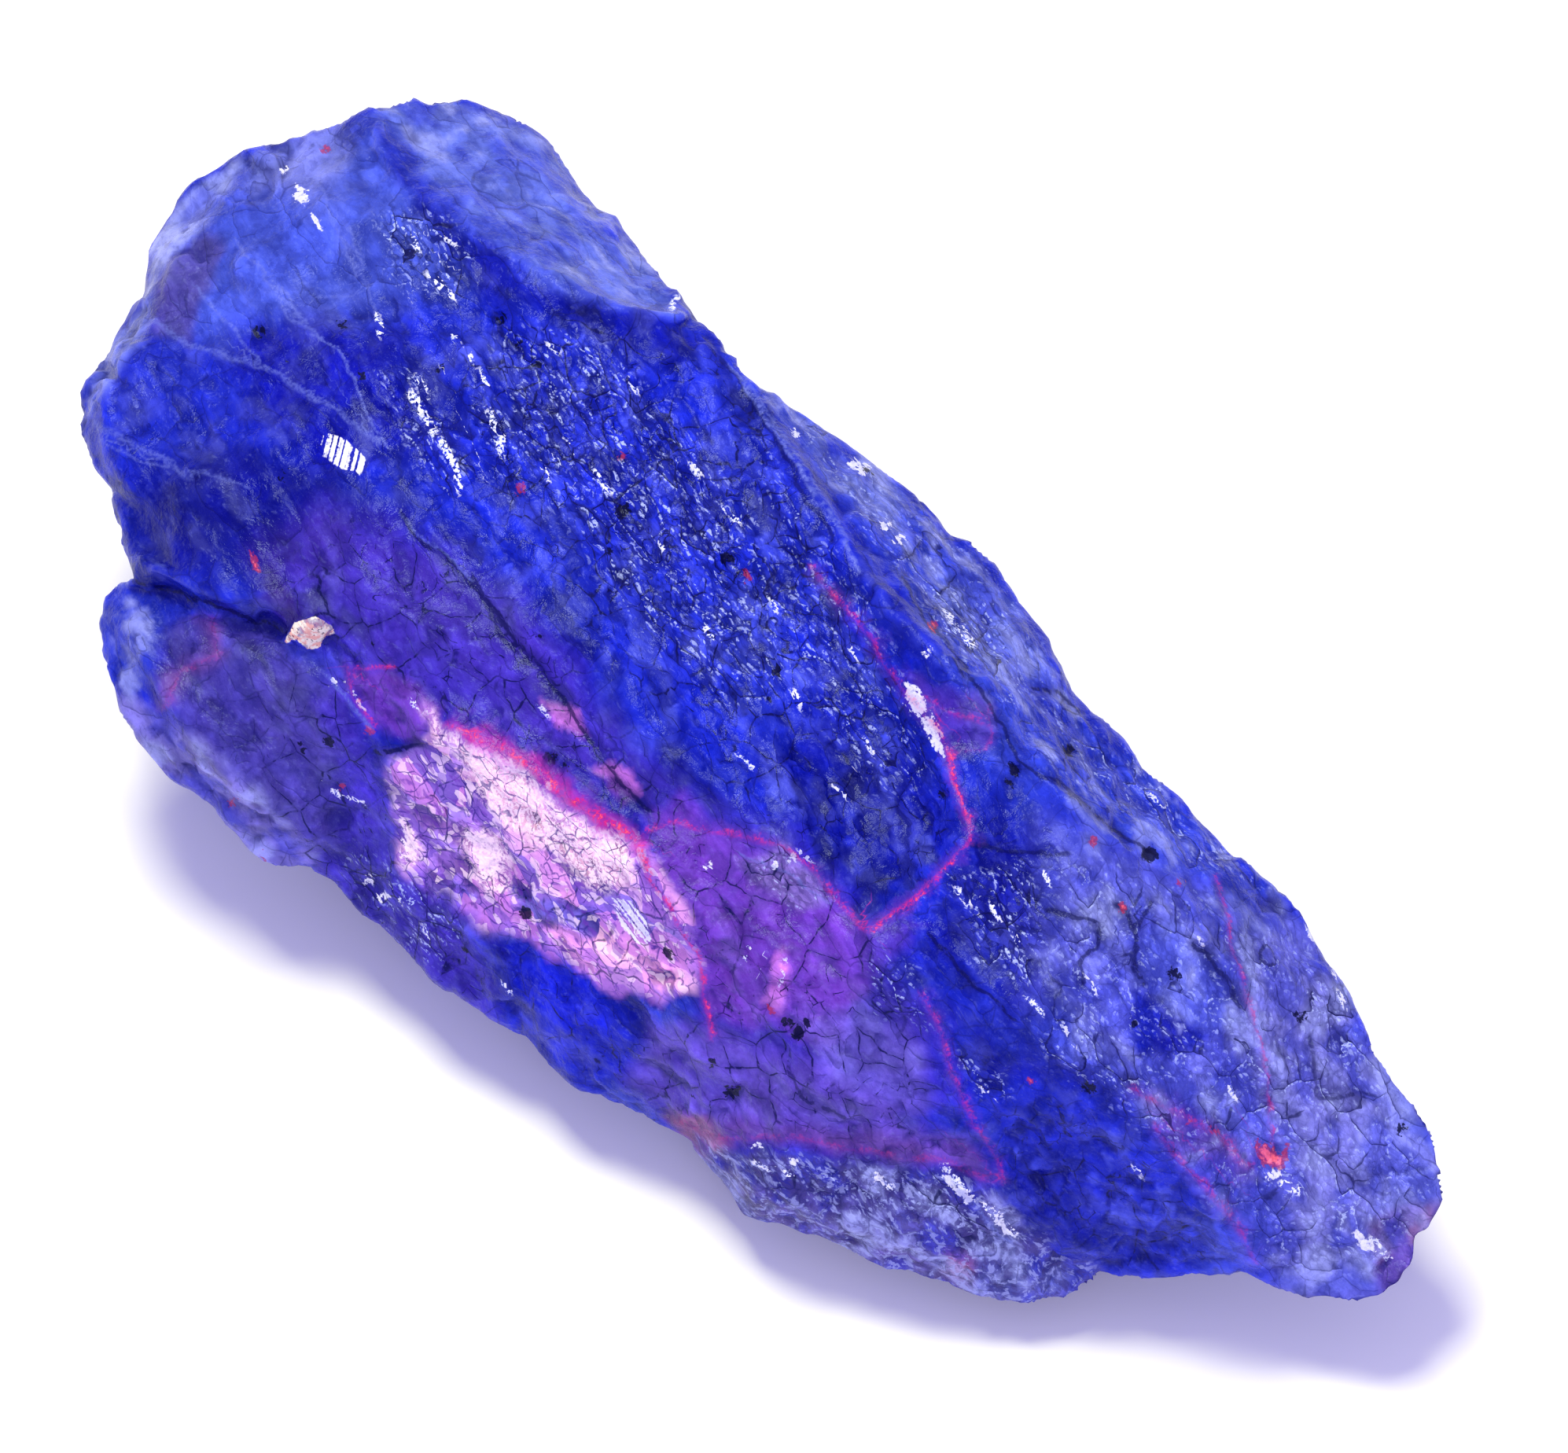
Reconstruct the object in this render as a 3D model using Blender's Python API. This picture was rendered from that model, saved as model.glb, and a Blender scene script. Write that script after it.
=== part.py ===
"""Rough sapphire: one loose, elongated broken crystal, 60 mm long, lying on a small flat spot.

The form hangs on its rim and on the ridges, ledges and furrows of its faces. Each of them is a
line of points read on the photograph, with the height above the surface that the stone lies on.
The faces between those lines are drawn taut from line to line, then roughened.
Axes: X along the stone, Z up, origin at the middle of the flat spot that it rests on.
"""

import math
import random

import bmesh
import bpy
import numpy as np
from mathutils import Matrix, Vector, noise
from mathutils.geometry import delaunay_2d_cdt

NAME = "rough_sapphire"
MM = 0.001

# Driving dimensions, in metres.
LENGTH = 0.060              # from tip to tip, along X
FLAT_SPOT_LENGTH = 0.018    # the worn flat spot underneath, along X
FLAT_SPOT_WIDTH = 0.0075    # and along Y
WORN_OFF = 0.25 * MM        # how much the flat spot has lost
MESH_STEP_TOP = 0.66 * MM   # spacing of the points between the lines, on the side that shows
MESH_STEP_UNDER = 1.0 * MM
LONGEST_EDGE = 1.7 * MM
SOFT_EDGE = math.radians(12)    # edges flatter than this may be turned
LUMP_HEIGHT = 0.42 * MM     # broad swells of the broken faces
GRAIN_HEIGHT = 0.16 * MM    # hackly grain on top of them
SEED = 11

# The side that the photograph shows, as the direction from the stone to the viewer.
VIEW_AZIMUTH = math.radians(47)
VIEW_ELEVATION = math.radians(55)

# Places on the photograph, in its pixels (1994 x 1848, x to the right, y down).
LEFT_TIP_PX = (104, 515)
RIGHT_TIP_PX = (1833, 1520)
ORIGIN_PX = (918, 1170)     # where the middle of the flat spot lies behind the stone

# The rim: the outline of the stone as seen, clockwise from the notch at its left end.
# Each point is x, y in pixels of the photograph and height in millimetres.
RIM = (
    (176, 737, 9.6), (147, 625, 9.8), (117, 582, 9.6), (103, 548, 9.5), (104, 515, 9.5),
    (128, 456, 9.7), (180, 374, 10), (190, 318, 10.3), (223, 251, 10.8), (242, 228, 11),
    (306, 191, 11.8), (420, 157, 13), (457, 139, 13.5), (526, 122, 13.3), (548, 129, 13.2),
    (592, 122, 13), (618, 132, 12.8), (677, 160, 12.4), (701, 179, 12.3), (727, 216, 12.2),
    (760, 267, 12.3), (782, 275, 12.4), (822, 331, 13), (860, 368, 13.8), (910, 428, 14.6),
    (951, 480, 14.8), (1005, 516, 14.2), (1084, 567, 13.5), (1178, 636, 13), (1211, 681, 12.8),
    (1237, 692, 12.8), (1264, 717, 12.7), (1334, 815, 12.4), (1364, 878, 12.1), (1387, 906, 12),
    (1416, 930, 11.8), (1457, 983, 11.4), (1512, 1021, 11), (1569, 1083, 10.5), (1640, 1145, 9.8),
    (1714, 1262, 8.6), (1752, 1342, 7.8), (1817, 1436, 6.6), (1826, 1463, 6.3), (1833, 1520, 5.6),
    (1814, 1558, 5.2), (1799, 1570, 5), (1796, 1597, 4.6), (1781, 1632, 4.1), (1722, 1657, 3.6),
    (1655, 1643, 3.4), (1584, 1616, 3.5), (1530, 1617, 3.2), (1460, 1624, 2.8), (1400, 1613, 2.4),
    (1375, 1639, 2), (1316, 1655, 1.6), (1246, 1646, 1.7), (1193, 1624, 1.9), (1095, 1595, 2),
    (1037, 1564, 2.2), (970, 1550, 2.2), (952, 1541, 2.2), (916, 1490, 2.5), (880, 1445, 2.7),
    (827, 1421, 2.9), (800, 1401, 3), (740, 1389, 3.1), (702, 1358, 3.3), (664, 1312, 3.5),
    (612, 1284, 3.6), (557, 1247, 3.8), (484, 1176, 4.1), (461, 1166, 4.2), (429, 1125, 4.4),
    (401, 1109, 4.5), (337, 1098, 4.8), (277, 1027, 5.5), (231, 997, 6), (190, 958, 6.5),
    (153, 907, 7), (133, 843, 7.4), (127, 811, 7.6), (131, 760, 8), (149, 744, 8.3),
)

# Ridges, ledges and furrows of the side that shows, in the same measures.
TOP_LINES = {
    "far_crest_left": (
        (465, 152, 14.2), (500, 205, 14.9), (545, 255, 15.5), (606, 300, 15.9), (685, 345, 16.2),
        (740, 372, 16.3), (800, 390, 16.1), (868, 402, 15.2)),
    "far_crest_right": (
        (968, 528, 15.3), (1012, 582, 15.5), (1048, 640, 15.8), (1084, 698, 16), (1124, 760, 16.2),
        (1167, 805, 16.3), (1224, 862, 16.2), (1263, 906, 15.9), (1300, 960, 15.5), (1345, 1000, 15.1),
        (1400, 1060, 14.4), (1464, 1085, 13.5)),
    "tongue_edge": (
        (1085, 775, 15.5), (1115, 810, 15.5), (1145, 865, 15.3), (1190, 960, 14.9),
        (1215, 1010, 14.7), (1240, 1060, 14.4), (1205, 1108, 13.8), (1165, 1148, 13.2),
        (1110, 1182, 12.5)),
    "tongue_foot": (
        (1064, 800, 15), (1096, 862, 14.5), (1144, 962, 13.9), (1188, 1047, 13.4),
        (1150, 1100, 12.9), (1098, 1145, 12.3)),
    "channel": (
        (640, 430, 15), (760, 570, 14.8), (880, 710, 14.5), (980, 840, 14.1), (1050, 960, 13.6),
        (1102, 1050, 13.1)),
    "channel_bank": (
        (560, 560, 15.2), (660, 700, 15), (760, 820, 14.7), (850, 930, 14.4), (940, 1030, 14),
        (1000, 1075, 13.6), (1045, 1125, 12.8)),
    "glowing_ridge": (
        (455, 850, 11.8), (520, 882, 12.2), (590, 935, 12.6), (660, 980, 12.7), (740, 1020, 12.8),
        (815, 1055, 12.6), (835, 1100, 12), (865, 1160, 11.2), (892, 1215, 10.2), (905, 1290, 8.8),
        (908, 1350, 7.6)),
    "under_the_ridge": (
        (606, 880, 12.9), (700, 940, 13), (800, 1010, 12.8), (900, 1050, 12.9)),
    "glowing_facet_foot": (
        (470, 960, 9.6), (520, 1050, 8.4), (600, 1120, 7.9), (690, 1165, 8.2), (780, 1205, 8.4),
        (850, 1240, 8.5)),
    "near_belly": (
        (430, 1040, 6.9), (520, 1150, 5.8), (610, 1215, 5.5), (700, 1290, 5.4), (800, 1350, 5.4)),
    "left_lip": (
        (300, 235, 12.6), (268, 275, 12.3), (222, 330, 12), (200, 395, 11.8), (168, 450, 11.6),
        (133, 505, 11.2), (131, 560, 11), (165, 620, 11.2)),
    "left_lip_foot": (
        (282, 222, 11.6), (248, 262, 11.2), (207, 325, 10.9), (188, 388, 10.8), (152, 445, 10.6)),
    "lobe_step_top": ((193, 722, 11), (270, 760, 11.6), (335, 762, 12), (402, 788, 12.4)),
    "lobe_step_foot": ((203, 752, 9.6), (275, 790, 10), (340, 800, 10.3), (388, 826, 11)),
    "lobe_ridge": (
        (170, 800, 9.2), (205, 880, 9.1), (265, 960, 8.3), (330, 1015, 7.5), (390, 1060, 6.6)),
    "ledge_top": (
        (876, 1412, 5), (950, 1435, 6), (1050, 1455, 6.4), (1150, 1468, 6.4), (1230, 1480, 6.2),
        (1290, 1500, 6), (1335, 1550, 5), (1392, 1590, 4)),
    "ledge_foot": (
        (908, 1456, 4.4), (960, 1470, 5.1), (1050, 1485, 5.6), (1150, 1497, 5.6), (1225, 1508, 5.4),
        (1272, 1530, 5), (1312, 1577, 4), (1370, 1606, 3)),
    "ledge_ridge": ((965, 1515, 4), (1060, 1545, 4), (1160, 1578, 3.7), (1275, 1618, 2.9)),
    "lower_divide": (
        (1180, 1190, 12.8), (1290, 1290, 12), (1385, 1370, 10.8), (1432, 1385, 10.3),
        (1486, 1438, 9.1), (1530, 1498, 7.7), (1560, 1545, 6.3), (1592, 1596, 4.8)),
    "vein_ledge_top": (
        (1118, 1206, 12.3), (1178, 1275, 11.3), (1190, 1340, 10.1), (1214, 1400, 8.8)),
    "vein_ledge_foot": (
        (1150, 1208, 12.2), (1206, 1268, 11.3), (1220, 1335, 10.1), (1246, 1390, 8.9)),
    "lower_fold": ((1000, 1230, 11.4), (1010, 1300, 10), (1040, 1380, 8.4)),
    "main_hollow": ((300, 330, 13.4), (400, 430, 14.2), (500, 480, 14.9)),
    "main_swell": ((250, 620, 12.4), (350, 600, 13.4), (480, 650, 14.3)),
    "purple_swell": ((380, 700, 13), (470, 760, 13.4), (560, 800, 13.8)),
    "end_fold": (
        (1470, 1150, 13.2), (1556, 1210, 11.9), (1600, 1300, 10.5), (1640, 1420, 8.4),
        (1680, 1540, 6)),
}

# Areas of the side that shows which broke smooth: x, y and radius in pixels.
SMOOTH_AREAS = (
    (300, 500, 260), (660, 250, 190), (700, 1090, 170), (1150, 1330, 110), (1500, 1300, 170),
    (1400, 1500, 130), (250, 880, 140),
)

# Single lumps and pits of that side: x and y in pixels, radius and height in millimetres.
SPOTS = (
    (397, 800, 0.95, 0.5), (335, 425, 0.9, -0.3), (640, 412, 0.9, -0.35), (795, 652, 1, -0.35),
    (932, 728, 1.1, -0.4), (705, 968, 0.9, -0.3), (1012, 1305, 0.9, -0.35), (928, 1388, 0.9, -0.3),
    (1386, 1380, 0.8, -0.35), (1284, 992, 1, -0.35), (1462, 1084, 0.9, -0.3), (1612, 1476, 0.8, -0.3),
)

# Lines of the underside: x, y and height in millimetres, in the stone's own axes.
UNDER_LINES = {
    "left_keel": ((-26.5, -1, 7.6), (-22, -1.6, 4.6), (-17.5, -0.8, 2.3), (-12, -1.2, 0.5)),
    "right_keel": ((12.5, 0.2, 0.3), (17.5, 1.6, 1.2), (22, 2.8, 2), (26.5, 5.2, 3.3)),
    "far_ledge_left": (
        (-25, 6, 8.8), (-20.5, 8.8, 8.4), (-14, 9.4, 7.4), (-7.5, 8.2, 7.2), (-3, 7.4, 6)),
    "far_ledge_right": (
        (-1.5, 9, 7.4), (4.5, 9.2, 5.6), (10, 8, 4.6), (16.5, 8.7, 4.6), (21.5, 7.8, 4.5)),
    "far_foot_left": ((-18, 4.4, 3.6), (-12, 5.4, 2.2), (-6, 5.2, 1.2), (-1, 5.6, 1.2)),
    "far_foot_right": ((3, 6.4, 1.8), (8.5, 5.2, 0.9), (14, 5.4, 1.6), (18, 4.8, 1.9)),
    "near_ledge_left": (
        (-23.5, -6.5, 7), (-19, -8.6, 5), (-13.5, -8, 2.6), (-8, -8.4, 1.9), (-3, -7, 0.9)),
    "near_ledge_right": ((0, -7.8, 1.4), (5.5, -6.4, 0.7), (10.5, -5.6, 0.5), (15, -4, 0.9)),
}

# Colour of the stone, as the photograph shows it on the whole.
SAPPHIRE_BLUE = (0.035, 0.045, 0.52, 1.0)


def view_frame():
    """Axes of the photograph in the stone's own axes: right, up and towards the viewer."""
    sin_a, cos_a = math.sin(VIEW_AZIMUTH), math.cos(VIEW_AZIMUTH)
    sin_e, cos_e = math.sin(VIEW_ELEVATION), math.cos(VIEW_ELEVATION)
    back = Vector((sin_a * cos_e, -cos_a * cos_e, sin_e))
    right = Vector((cos_a, sin_a, 0.0))
    return right, back.cross(right), back


RIGHT, UP, BACK = view_frame()
VIEW = Matrix((RIGHT, UP, BACK))


def pixels_per_metre():
    """Scale of the photograph, from the distance of the two tips and the stone's length."""
    apart = math.dist(LEFT_TIP_PX, RIGHT_TIP_PX)
    foreshortening = math.hypot(RIGHT.x, UP.x)
    return apart / (LENGTH * foreshortening)


def from_photo(x, y, height_mm):
    """Place of a point of the photograph, as right, up and towards the viewer, in metres."""
    scale = pixels_per_metre()
    right = (x - ORIGIN_PX[0]) / scale
    up = (ORIGIN_PX[1] - y) / scale
    return Vector((right, up, (height_mm * MM - up * UP.z) / BACK.z))


def from_stone(x_mm, y_mm, height_mm):
    """The same for a point given in the stone's own axes."""
    return VIEW @ Vector((x_mm, y_mm, height_mm)) * MM


def flat_spot():
    """Closed outline of the flat spot: an oval worn out of true."""
    outline = []
    for step in range(14):
        turn = math.tau * step / 14
        wobble = 1 + 0.07 * math.sin(3 * turn + 1)
        x = math.cos(turn) * wobble * FLAT_SPOT_LENGTH / 2 / MM
        y = math.sin(turn) * wobble * FLAT_SPOT_WIDTH / 2 / MM
        outline.append(from_stone(x, y, -WORN_OFF / MM))
    return outline + outline[:1]


def inside(outline, x, y):
    """Whether a point of the layout lies within a closed outline."""
    within = False
    for a, b in zip(outline, outline[1:] + outline[:1]):
        if (a.y > y) != (b.y > y) and x < a.x + (b.x - a.x) * (y - a.y) / (b.y - a.y):
            within = not within
    return within


def distance_to(starts, ends, x, y):
    """Distance in the layout from a point to the nearest of the given stretches."""
    along = ends - starts
    length = np.maximum((along ** 2).sum(axis=1), 1e-18)
    point = np.array((x, y))
    part = np.clip(((point - starts) * along).sum(axis=1) / length, 0, 1)
    nearest = starts + along * part[:, None]
    return np.sqrt(((point - nearest) ** 2).sum(axis=1).min())


def scatter(rim, lines, step, rng):
    """Free points between the lines, on a slightly shaken triangular grid."""
    stretches = list(zip(rim, rim[1:] + rim[:1]))
    for line in lines:
        stretches += zip(line, line[1:])
    starts = np.array([a.xy for a, _ in stretches])
    ends = np.array([b.xy for _, b in stretches])
    low = np.array([p.xy for p in rim]).min(axis=0)
    high = np.array([p.xy for p in rim]).max(axis=0)
    points = []
    rows = int((high[1] - low[1]) / (step * 0.866)) + 1
    columns = int((high[0] - low[0]) / step) + 2
    for row in range(rows):
        for column in range(columns):
            x = low[0] + (column + row % 2 / 2 + rng.uniform(-0.2, 0.2)) * step
            y = low[1] + (row + rng.uniform(-0.2, 0.2)) * step * 0.866
            if inside(rim, x, y) and distance_to(starts, ends, x, y) > step * 0.55:
                points.append((x, y))
    return points


def split_long(line, step, closed=False):
    """The same line with its long stretches split up."""
    ends = line[1:] + line[:1] if closed else line[1:]
    out = []
    for a, b in zip(line, ends):
        parts = max(1, round((b - a).xy.length / step))
        out += [a.lerp(b, k / parts) for k in range(parts)]
    return out if closed else out + [line[-1]]


def taut_sheet(rim, lines, step, rng, rounds=1200):
    """Triangles between the rim and the lines, drawn taut like a soap film."""
    points = [p.copy() for p in rim]
    edges = []
    for line in lines:
        first = len(points)
        points += [p.copy() for p in line]
        edges += [(first + k, first + k + 1) for k in range(len(line) - 1)]
    held = len(points)
    middle = sum(p.z for p in points) / held
    points += [Vector((x, y, middle)) for x, y in scatter(rim, lines, step, rng)]

    flat, links, faces, origins, _, _ = delaunay_2d_cdt(
        [p.xy for p in points], edges, [list(range(len(rim)))], 1, 1e-9)
    source = np.array([origin[0] for origin in origins])
    depth = np.array([points[k].z for k in source])
    free = source >= held
    links = np.array(links)
    count = np.bincount(links.ravel(), minlength=len(flat))
    for _ in range(rounds):
        total = np.zeros(len(flat))
        np.add.at(total, links[:, 0], depth[links[:, 1]])
        np.add.at(total, links[:, 1], depth[links[:, 0]])
        depth[free] = (total / count)[free]
    return [Vector((p.x, p.y, z)) for p, z in zip(flat, depth)], faces, source


def add_sheet(bm, rim_verts, sheet, facing):
    """Faces of one sheet, sewn to the vertices of the rim."""
    points, faces, source = sheet
    verts = []
    for point, origin in zip(points, source):
        on_rim = origin < len(rim_verts)
        verts.append(rim_verts[origin] if on_rim else bm.verts.new(VIEW.transposed() @ point))
    for face in faces:
        corners = [verts[k] for k in face]
        bm.faces.new(corners if facing > 0 else corners[::-1])


def on_photo(place):
    """Where a place of the stone lies on the photograph, in pixels."""
    scale = pixels_per_metre()
    right, up, _ = VIEW @ place
    return ORIGIN_PX[0] + right * scale, ORIGIN_PX[1] - up * scale


def hackly_at(vert):
    """How rough the break is at a vertex: little in the smooth areas, else 1."""
    if vert.normal.dot(BACK) < 0:
        return 1.0
    pixel = on_photo(vert.co)
    reach = min(math.dist(pixel, area[:2]) / area[2] for area in SMOOTH_AREAS)
    return min(1.0, max(0.25, reach - 0.35))


def add_spots(bm):
    """Raises the single lumps and sinks the pits."""
    bm.normal_update()
    scale = pixels_per_metre()
    for vert in [v for v in bm.verts if v.normal.dot(BACK) > 0.2]:
        pixel = on_photo(vert.co)
        for x, y, radius, height in SPOTS:
            away = math.dist(pixel, (x, y)) / scale / (radius * MM)
            if away < 1:
                vert.co += vert.normal * height * MM * (1 - away ** 2) ** 2


def roughen(bm):
    """Broad swells and hackly grain, stretched along the stone, on all but the rim."""
    on_rim = bm.verts.layers.int["on_rim"]
    bm.normal_update()
    moves = []
    for vert in bm.verts:
        place = vert.co / LENGTH
        broad = noise.fractal(Vector((place.x * 9, place.y * 16, place.z * 16)), 1.0, 2.0, 3)
        fine = noise.ridged_multi_fractal(
            Vector((place.x * 22, place.y * 44, place.z * 44)), 0.9, 2.1, 3, 0.9, 2.0) - 1.2
        amount = LUMP_HEIGHT * broad + GRAIN_HEIGHT * fine * hackly_at(vert)
        near_floor = min(1.0, max(0.0, vert.co.z / (2.5 * MM)))
        moves.append(vert.normal * amount * near_floor)
    for vert, move in zip(bm.verts, moves):
        if not vert[on_rim]:
            vert.co += move


def even_out(bm):
    """Splits the long edges that steep faces get, and turns edges for rounder triangles."""
    for _ in range(2):
        long_edges = [e for e in bm.edges if e.calc_length() > LONGEST_EDGE]
        bmesh.ops.subdivide_edges(bm, edges=long_edges, cuts=1)
        bmesh.ops.triangulate(bm, faces=[f for f in bm.faces if len(f.verts) > 3])
        soft = [e for e in bm.edges if e.is_manifold and e.calc_face_angle() < SOFT_EDGE]
        bmesh.ops.beautify_fill(bm, faces=bm.faces[:], edges=soft, method="ANGLE")


def cut_flat(bm):
    """Cuts the underside off level with the surface that the stone rests on."""
    geometry = bm.verts[:] + bm.edges[:] + bm.faces[:]
    cut = bmesh.ops.bisect_plane(
        bm, geom=geometry, dist=1e-7, plane_co=(0, 0, 0), plane_no=(0, 0, -1), clear_outer=True)
    rims = [e for e in cut["geom_cut"] if isinstance(e, bmesh.types.BMEdge)]
    bmesh.ops.edgeloop_fill(bm, edges=rims)


def stone_mesh():
    """The whole stone as one closed mesh."""
    rng = random.Random(SEED)
    rim = split_long([from_photo(*p) for p in RIM], 1.4 * MESH_STEP_TOP, closed=True)
    top = [split_long([from_photo(*p) for p in line], 1.2 * MESH_STEP_TOP)
           for line in TOP_LINES.values()]
    under = [split_long([from_stone(*p) for p in line], 1.2 * MESH_STEP_UNDER)
             for line in UNDER_LINES.values()]
    under.append(flat_spot())

    bm = bmesh.new()
    on_rim = bm.verts.layers.int.new("on_rim")
    rim_verts = [bm.verts.new(VIEW.transposed() @ p) for p in rim]
    for vert in rim_verts:
        vert[on_rim] = 1
    add_sheet(bm, rim_verts, taut_sheet(rim, top, MESH_STEP_TOP, rng), 1)
    add_sheet(bm, rim_verts, taut_sheet(rim, under, MESH_STEP_UNDER, rng), -1)
    even_out(bm)
    add_spots(bm)
    roughen(bm)
    cut_flat(bm)
    mesh = bpy.data.meshes.new(NAME)
    bm.to_mesh(mesh)
    bm.free()
    return mesh


def sapphire_material():
    """Deep blue, glassy on its breaks."""
    material = bpy.data.materials.new("sapphire")
    material.use_nodes = True
    shader = material.node_tree.nodes["Principled BSDF"]
    shader.inputs["Base Color"].default_value = SAPPHIRE_BLUE
    shader.inputs["Roughness"].default_value = 0.3
    shader.inputs["Metallic"].default_value = 0.0
    shader.inputs["IOR"].default_value = 1.76
    return material


def main():
    for old in list(bpy.data.objects):
        bpy.data.objects.remove(old)
    stones = bpy.data.collections.new("rough_sapphire")
    bpy.context.scene.collection.children.link(stones)
    stone = bpy.data.objects.new(NAME, stone_mesh())
    stone.data.materials.append(sapphire_material())
    stones.objects.link(stone)


main()
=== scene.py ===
"""Looks of the rough sapphire: the broken skin of the stone, its colours and the light.

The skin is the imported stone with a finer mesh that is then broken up: swells, stepped breaks,
chips, cracks and pits. What the photograph shows in one place only, such as a vein, is named
below by its place on the photograph and is laid on the side of the stone that it shows.
"""

import math

import bmesh
import bpy
import numpy as np
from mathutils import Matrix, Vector
from mathutils.bvhtree import BVHTree


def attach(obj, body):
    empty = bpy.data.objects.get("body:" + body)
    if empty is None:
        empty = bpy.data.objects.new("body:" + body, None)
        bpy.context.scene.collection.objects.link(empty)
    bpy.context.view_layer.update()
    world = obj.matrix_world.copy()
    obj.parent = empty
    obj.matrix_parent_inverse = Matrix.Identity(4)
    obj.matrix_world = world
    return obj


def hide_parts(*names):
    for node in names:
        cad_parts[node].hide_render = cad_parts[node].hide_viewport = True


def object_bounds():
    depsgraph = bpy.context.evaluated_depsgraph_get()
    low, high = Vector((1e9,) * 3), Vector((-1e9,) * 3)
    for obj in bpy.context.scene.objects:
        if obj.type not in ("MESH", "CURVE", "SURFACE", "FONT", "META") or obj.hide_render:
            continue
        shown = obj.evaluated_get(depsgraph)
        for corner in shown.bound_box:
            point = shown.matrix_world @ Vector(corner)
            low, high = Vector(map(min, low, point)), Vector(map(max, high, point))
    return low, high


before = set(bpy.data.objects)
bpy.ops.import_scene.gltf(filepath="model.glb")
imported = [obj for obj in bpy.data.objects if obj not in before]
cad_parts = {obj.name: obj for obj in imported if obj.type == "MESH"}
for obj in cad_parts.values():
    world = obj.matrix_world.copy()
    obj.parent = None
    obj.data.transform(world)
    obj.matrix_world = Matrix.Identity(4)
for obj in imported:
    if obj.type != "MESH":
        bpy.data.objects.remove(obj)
CAD_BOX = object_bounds()

NODE = "rough_sapphire"
MM = 0.001

# The side that the photograph shows, and its scale, as the stone was laid out.
VIEW_AZIMUTH = math.radians(47)
VIEW_ELEVATION = math.radians(55)
LENGTH_MM = 60.0
LEFT_TIP_PX = (104, 515)
RIGHT_TIP_PX = (1833, 1520)
ORIGIN_PX = (918, 1170)
PHOTO_SIZE_PX = (1994, 1848)

# The camera: a long lens, aimed a little above the origin and a little to the right.
LENS_MM = 1200.0
SENSOR_MM = 36.0
AIM_HEIGHT_MM = 5.0
AIM_RIGHT_PX = 2
CLIP = (0.01, 5.0)

# The paper under the stone, and the light: where each lamp stands, as parts of the photograph's
# right, up and towards the viewer, its distance and size in metres, its watts and its colour.
PAPER_HALF_SIZE = 4
PAPER_COLOUR = (0.9, 0.9, 0.9, 1)
PAPER_ROUGHNESS = 0.8
SKY_COLOUR = (0.53, 0.5, 0.93, 1)
SKY_STRENGTH = 0.9
LAMPS = {
    "key": ((-0.2, 0.85, 0.7), 0.5, 0.16, 2.3, (1.0, 1.0, 0.62)),
    "fill": ((0, -0.35, 1), 0.5, 0.3, 0.8, (1.0, 0.94, 0.98)),
}

# The skin: cuts of each edge of the solid, the length in millimetres from which an edge is cut
# once more, the rounds of softening, and how many triangles there may be.
CUTS = 3
LONG_EDGE = 0.23
SOFTENINGS = 5
SOFTENING = 0.6
MOST_TRIANGLES = 190000
SPARE_EDGES = 500

# The grain of the stone runs along its length, turned a little about the vertical.
GRAIN_TURN = math.radians(16)

# How far along the stone its right tip begins, and where it has one colour all round.
TIP_MM = (26.5, 28.0)

# Heights of the relief in millimetres. Plates and chips stand out more where the stone is hackly.
SWELL = 0.09
OUTWARD = 0.05
PLATE_STEP = 0.18
HACKLY_PLATE_STEP = 0.32
CHIP = 0.28
GRIT = 0.08
RIDGE = 0.08
MINERAL = 0.16
GROOVE = 0.12
PIT = 0.14

# Pits here and there: cells per millimetre, the least size and how much more it may be, and the
# share of cells without one.
PITS_PER_MM = 0.33
PIT_SIZE = (0.1, 0.3)
NO_PIT = 0.35

# How far the edges of areas and spots wander, in pixels, and the reach of a line.
AREA_WANDER = 14
SPOT_WANDER = 4
LINE_WANDER = {"vein": 5, "crack": 8, "veil": 5, "dash": 1}
REACH = 45

# Plates and glinting scales: size in millimetres, and how long they are across to how long
# along the grain; the gap between plates, and the side where both catch light.
PLATE = 1.05
PLATE_STRETCH = 0.5
PLATE_GAP = 0.045
SCALE = 0.21
SCALE_STRETCH = 0.42
LIT_SIDE = (-0.25, 0.62, 0.74)

# Two nets of cracks: size of the cells and stretch as above, and width of the cracks.
CRACK_NET = (1.35, 0.8, 0.03)
FINE_NET = (0.5, 0.55, 0.026)

# How the surface shines. The index of refraction is that of sapphire.
ROUGHNESS = (0.2, 0.42)
REFRACTION = 1.76
SPECULAR = 0.12
SPECULAR_TINT = (0.42, 0.48, 1.0, 1.0)


def srgb(red, green, blue):
    """A colour as seen on the photograph (0 to 255) as a linear colour."""
    parts = np.array((red, green, blue)) / 255
    return np.where(parts <= 0.04045, parts / 12.92, ((parts + 0.055) / 1.055) ** 2.4)


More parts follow.
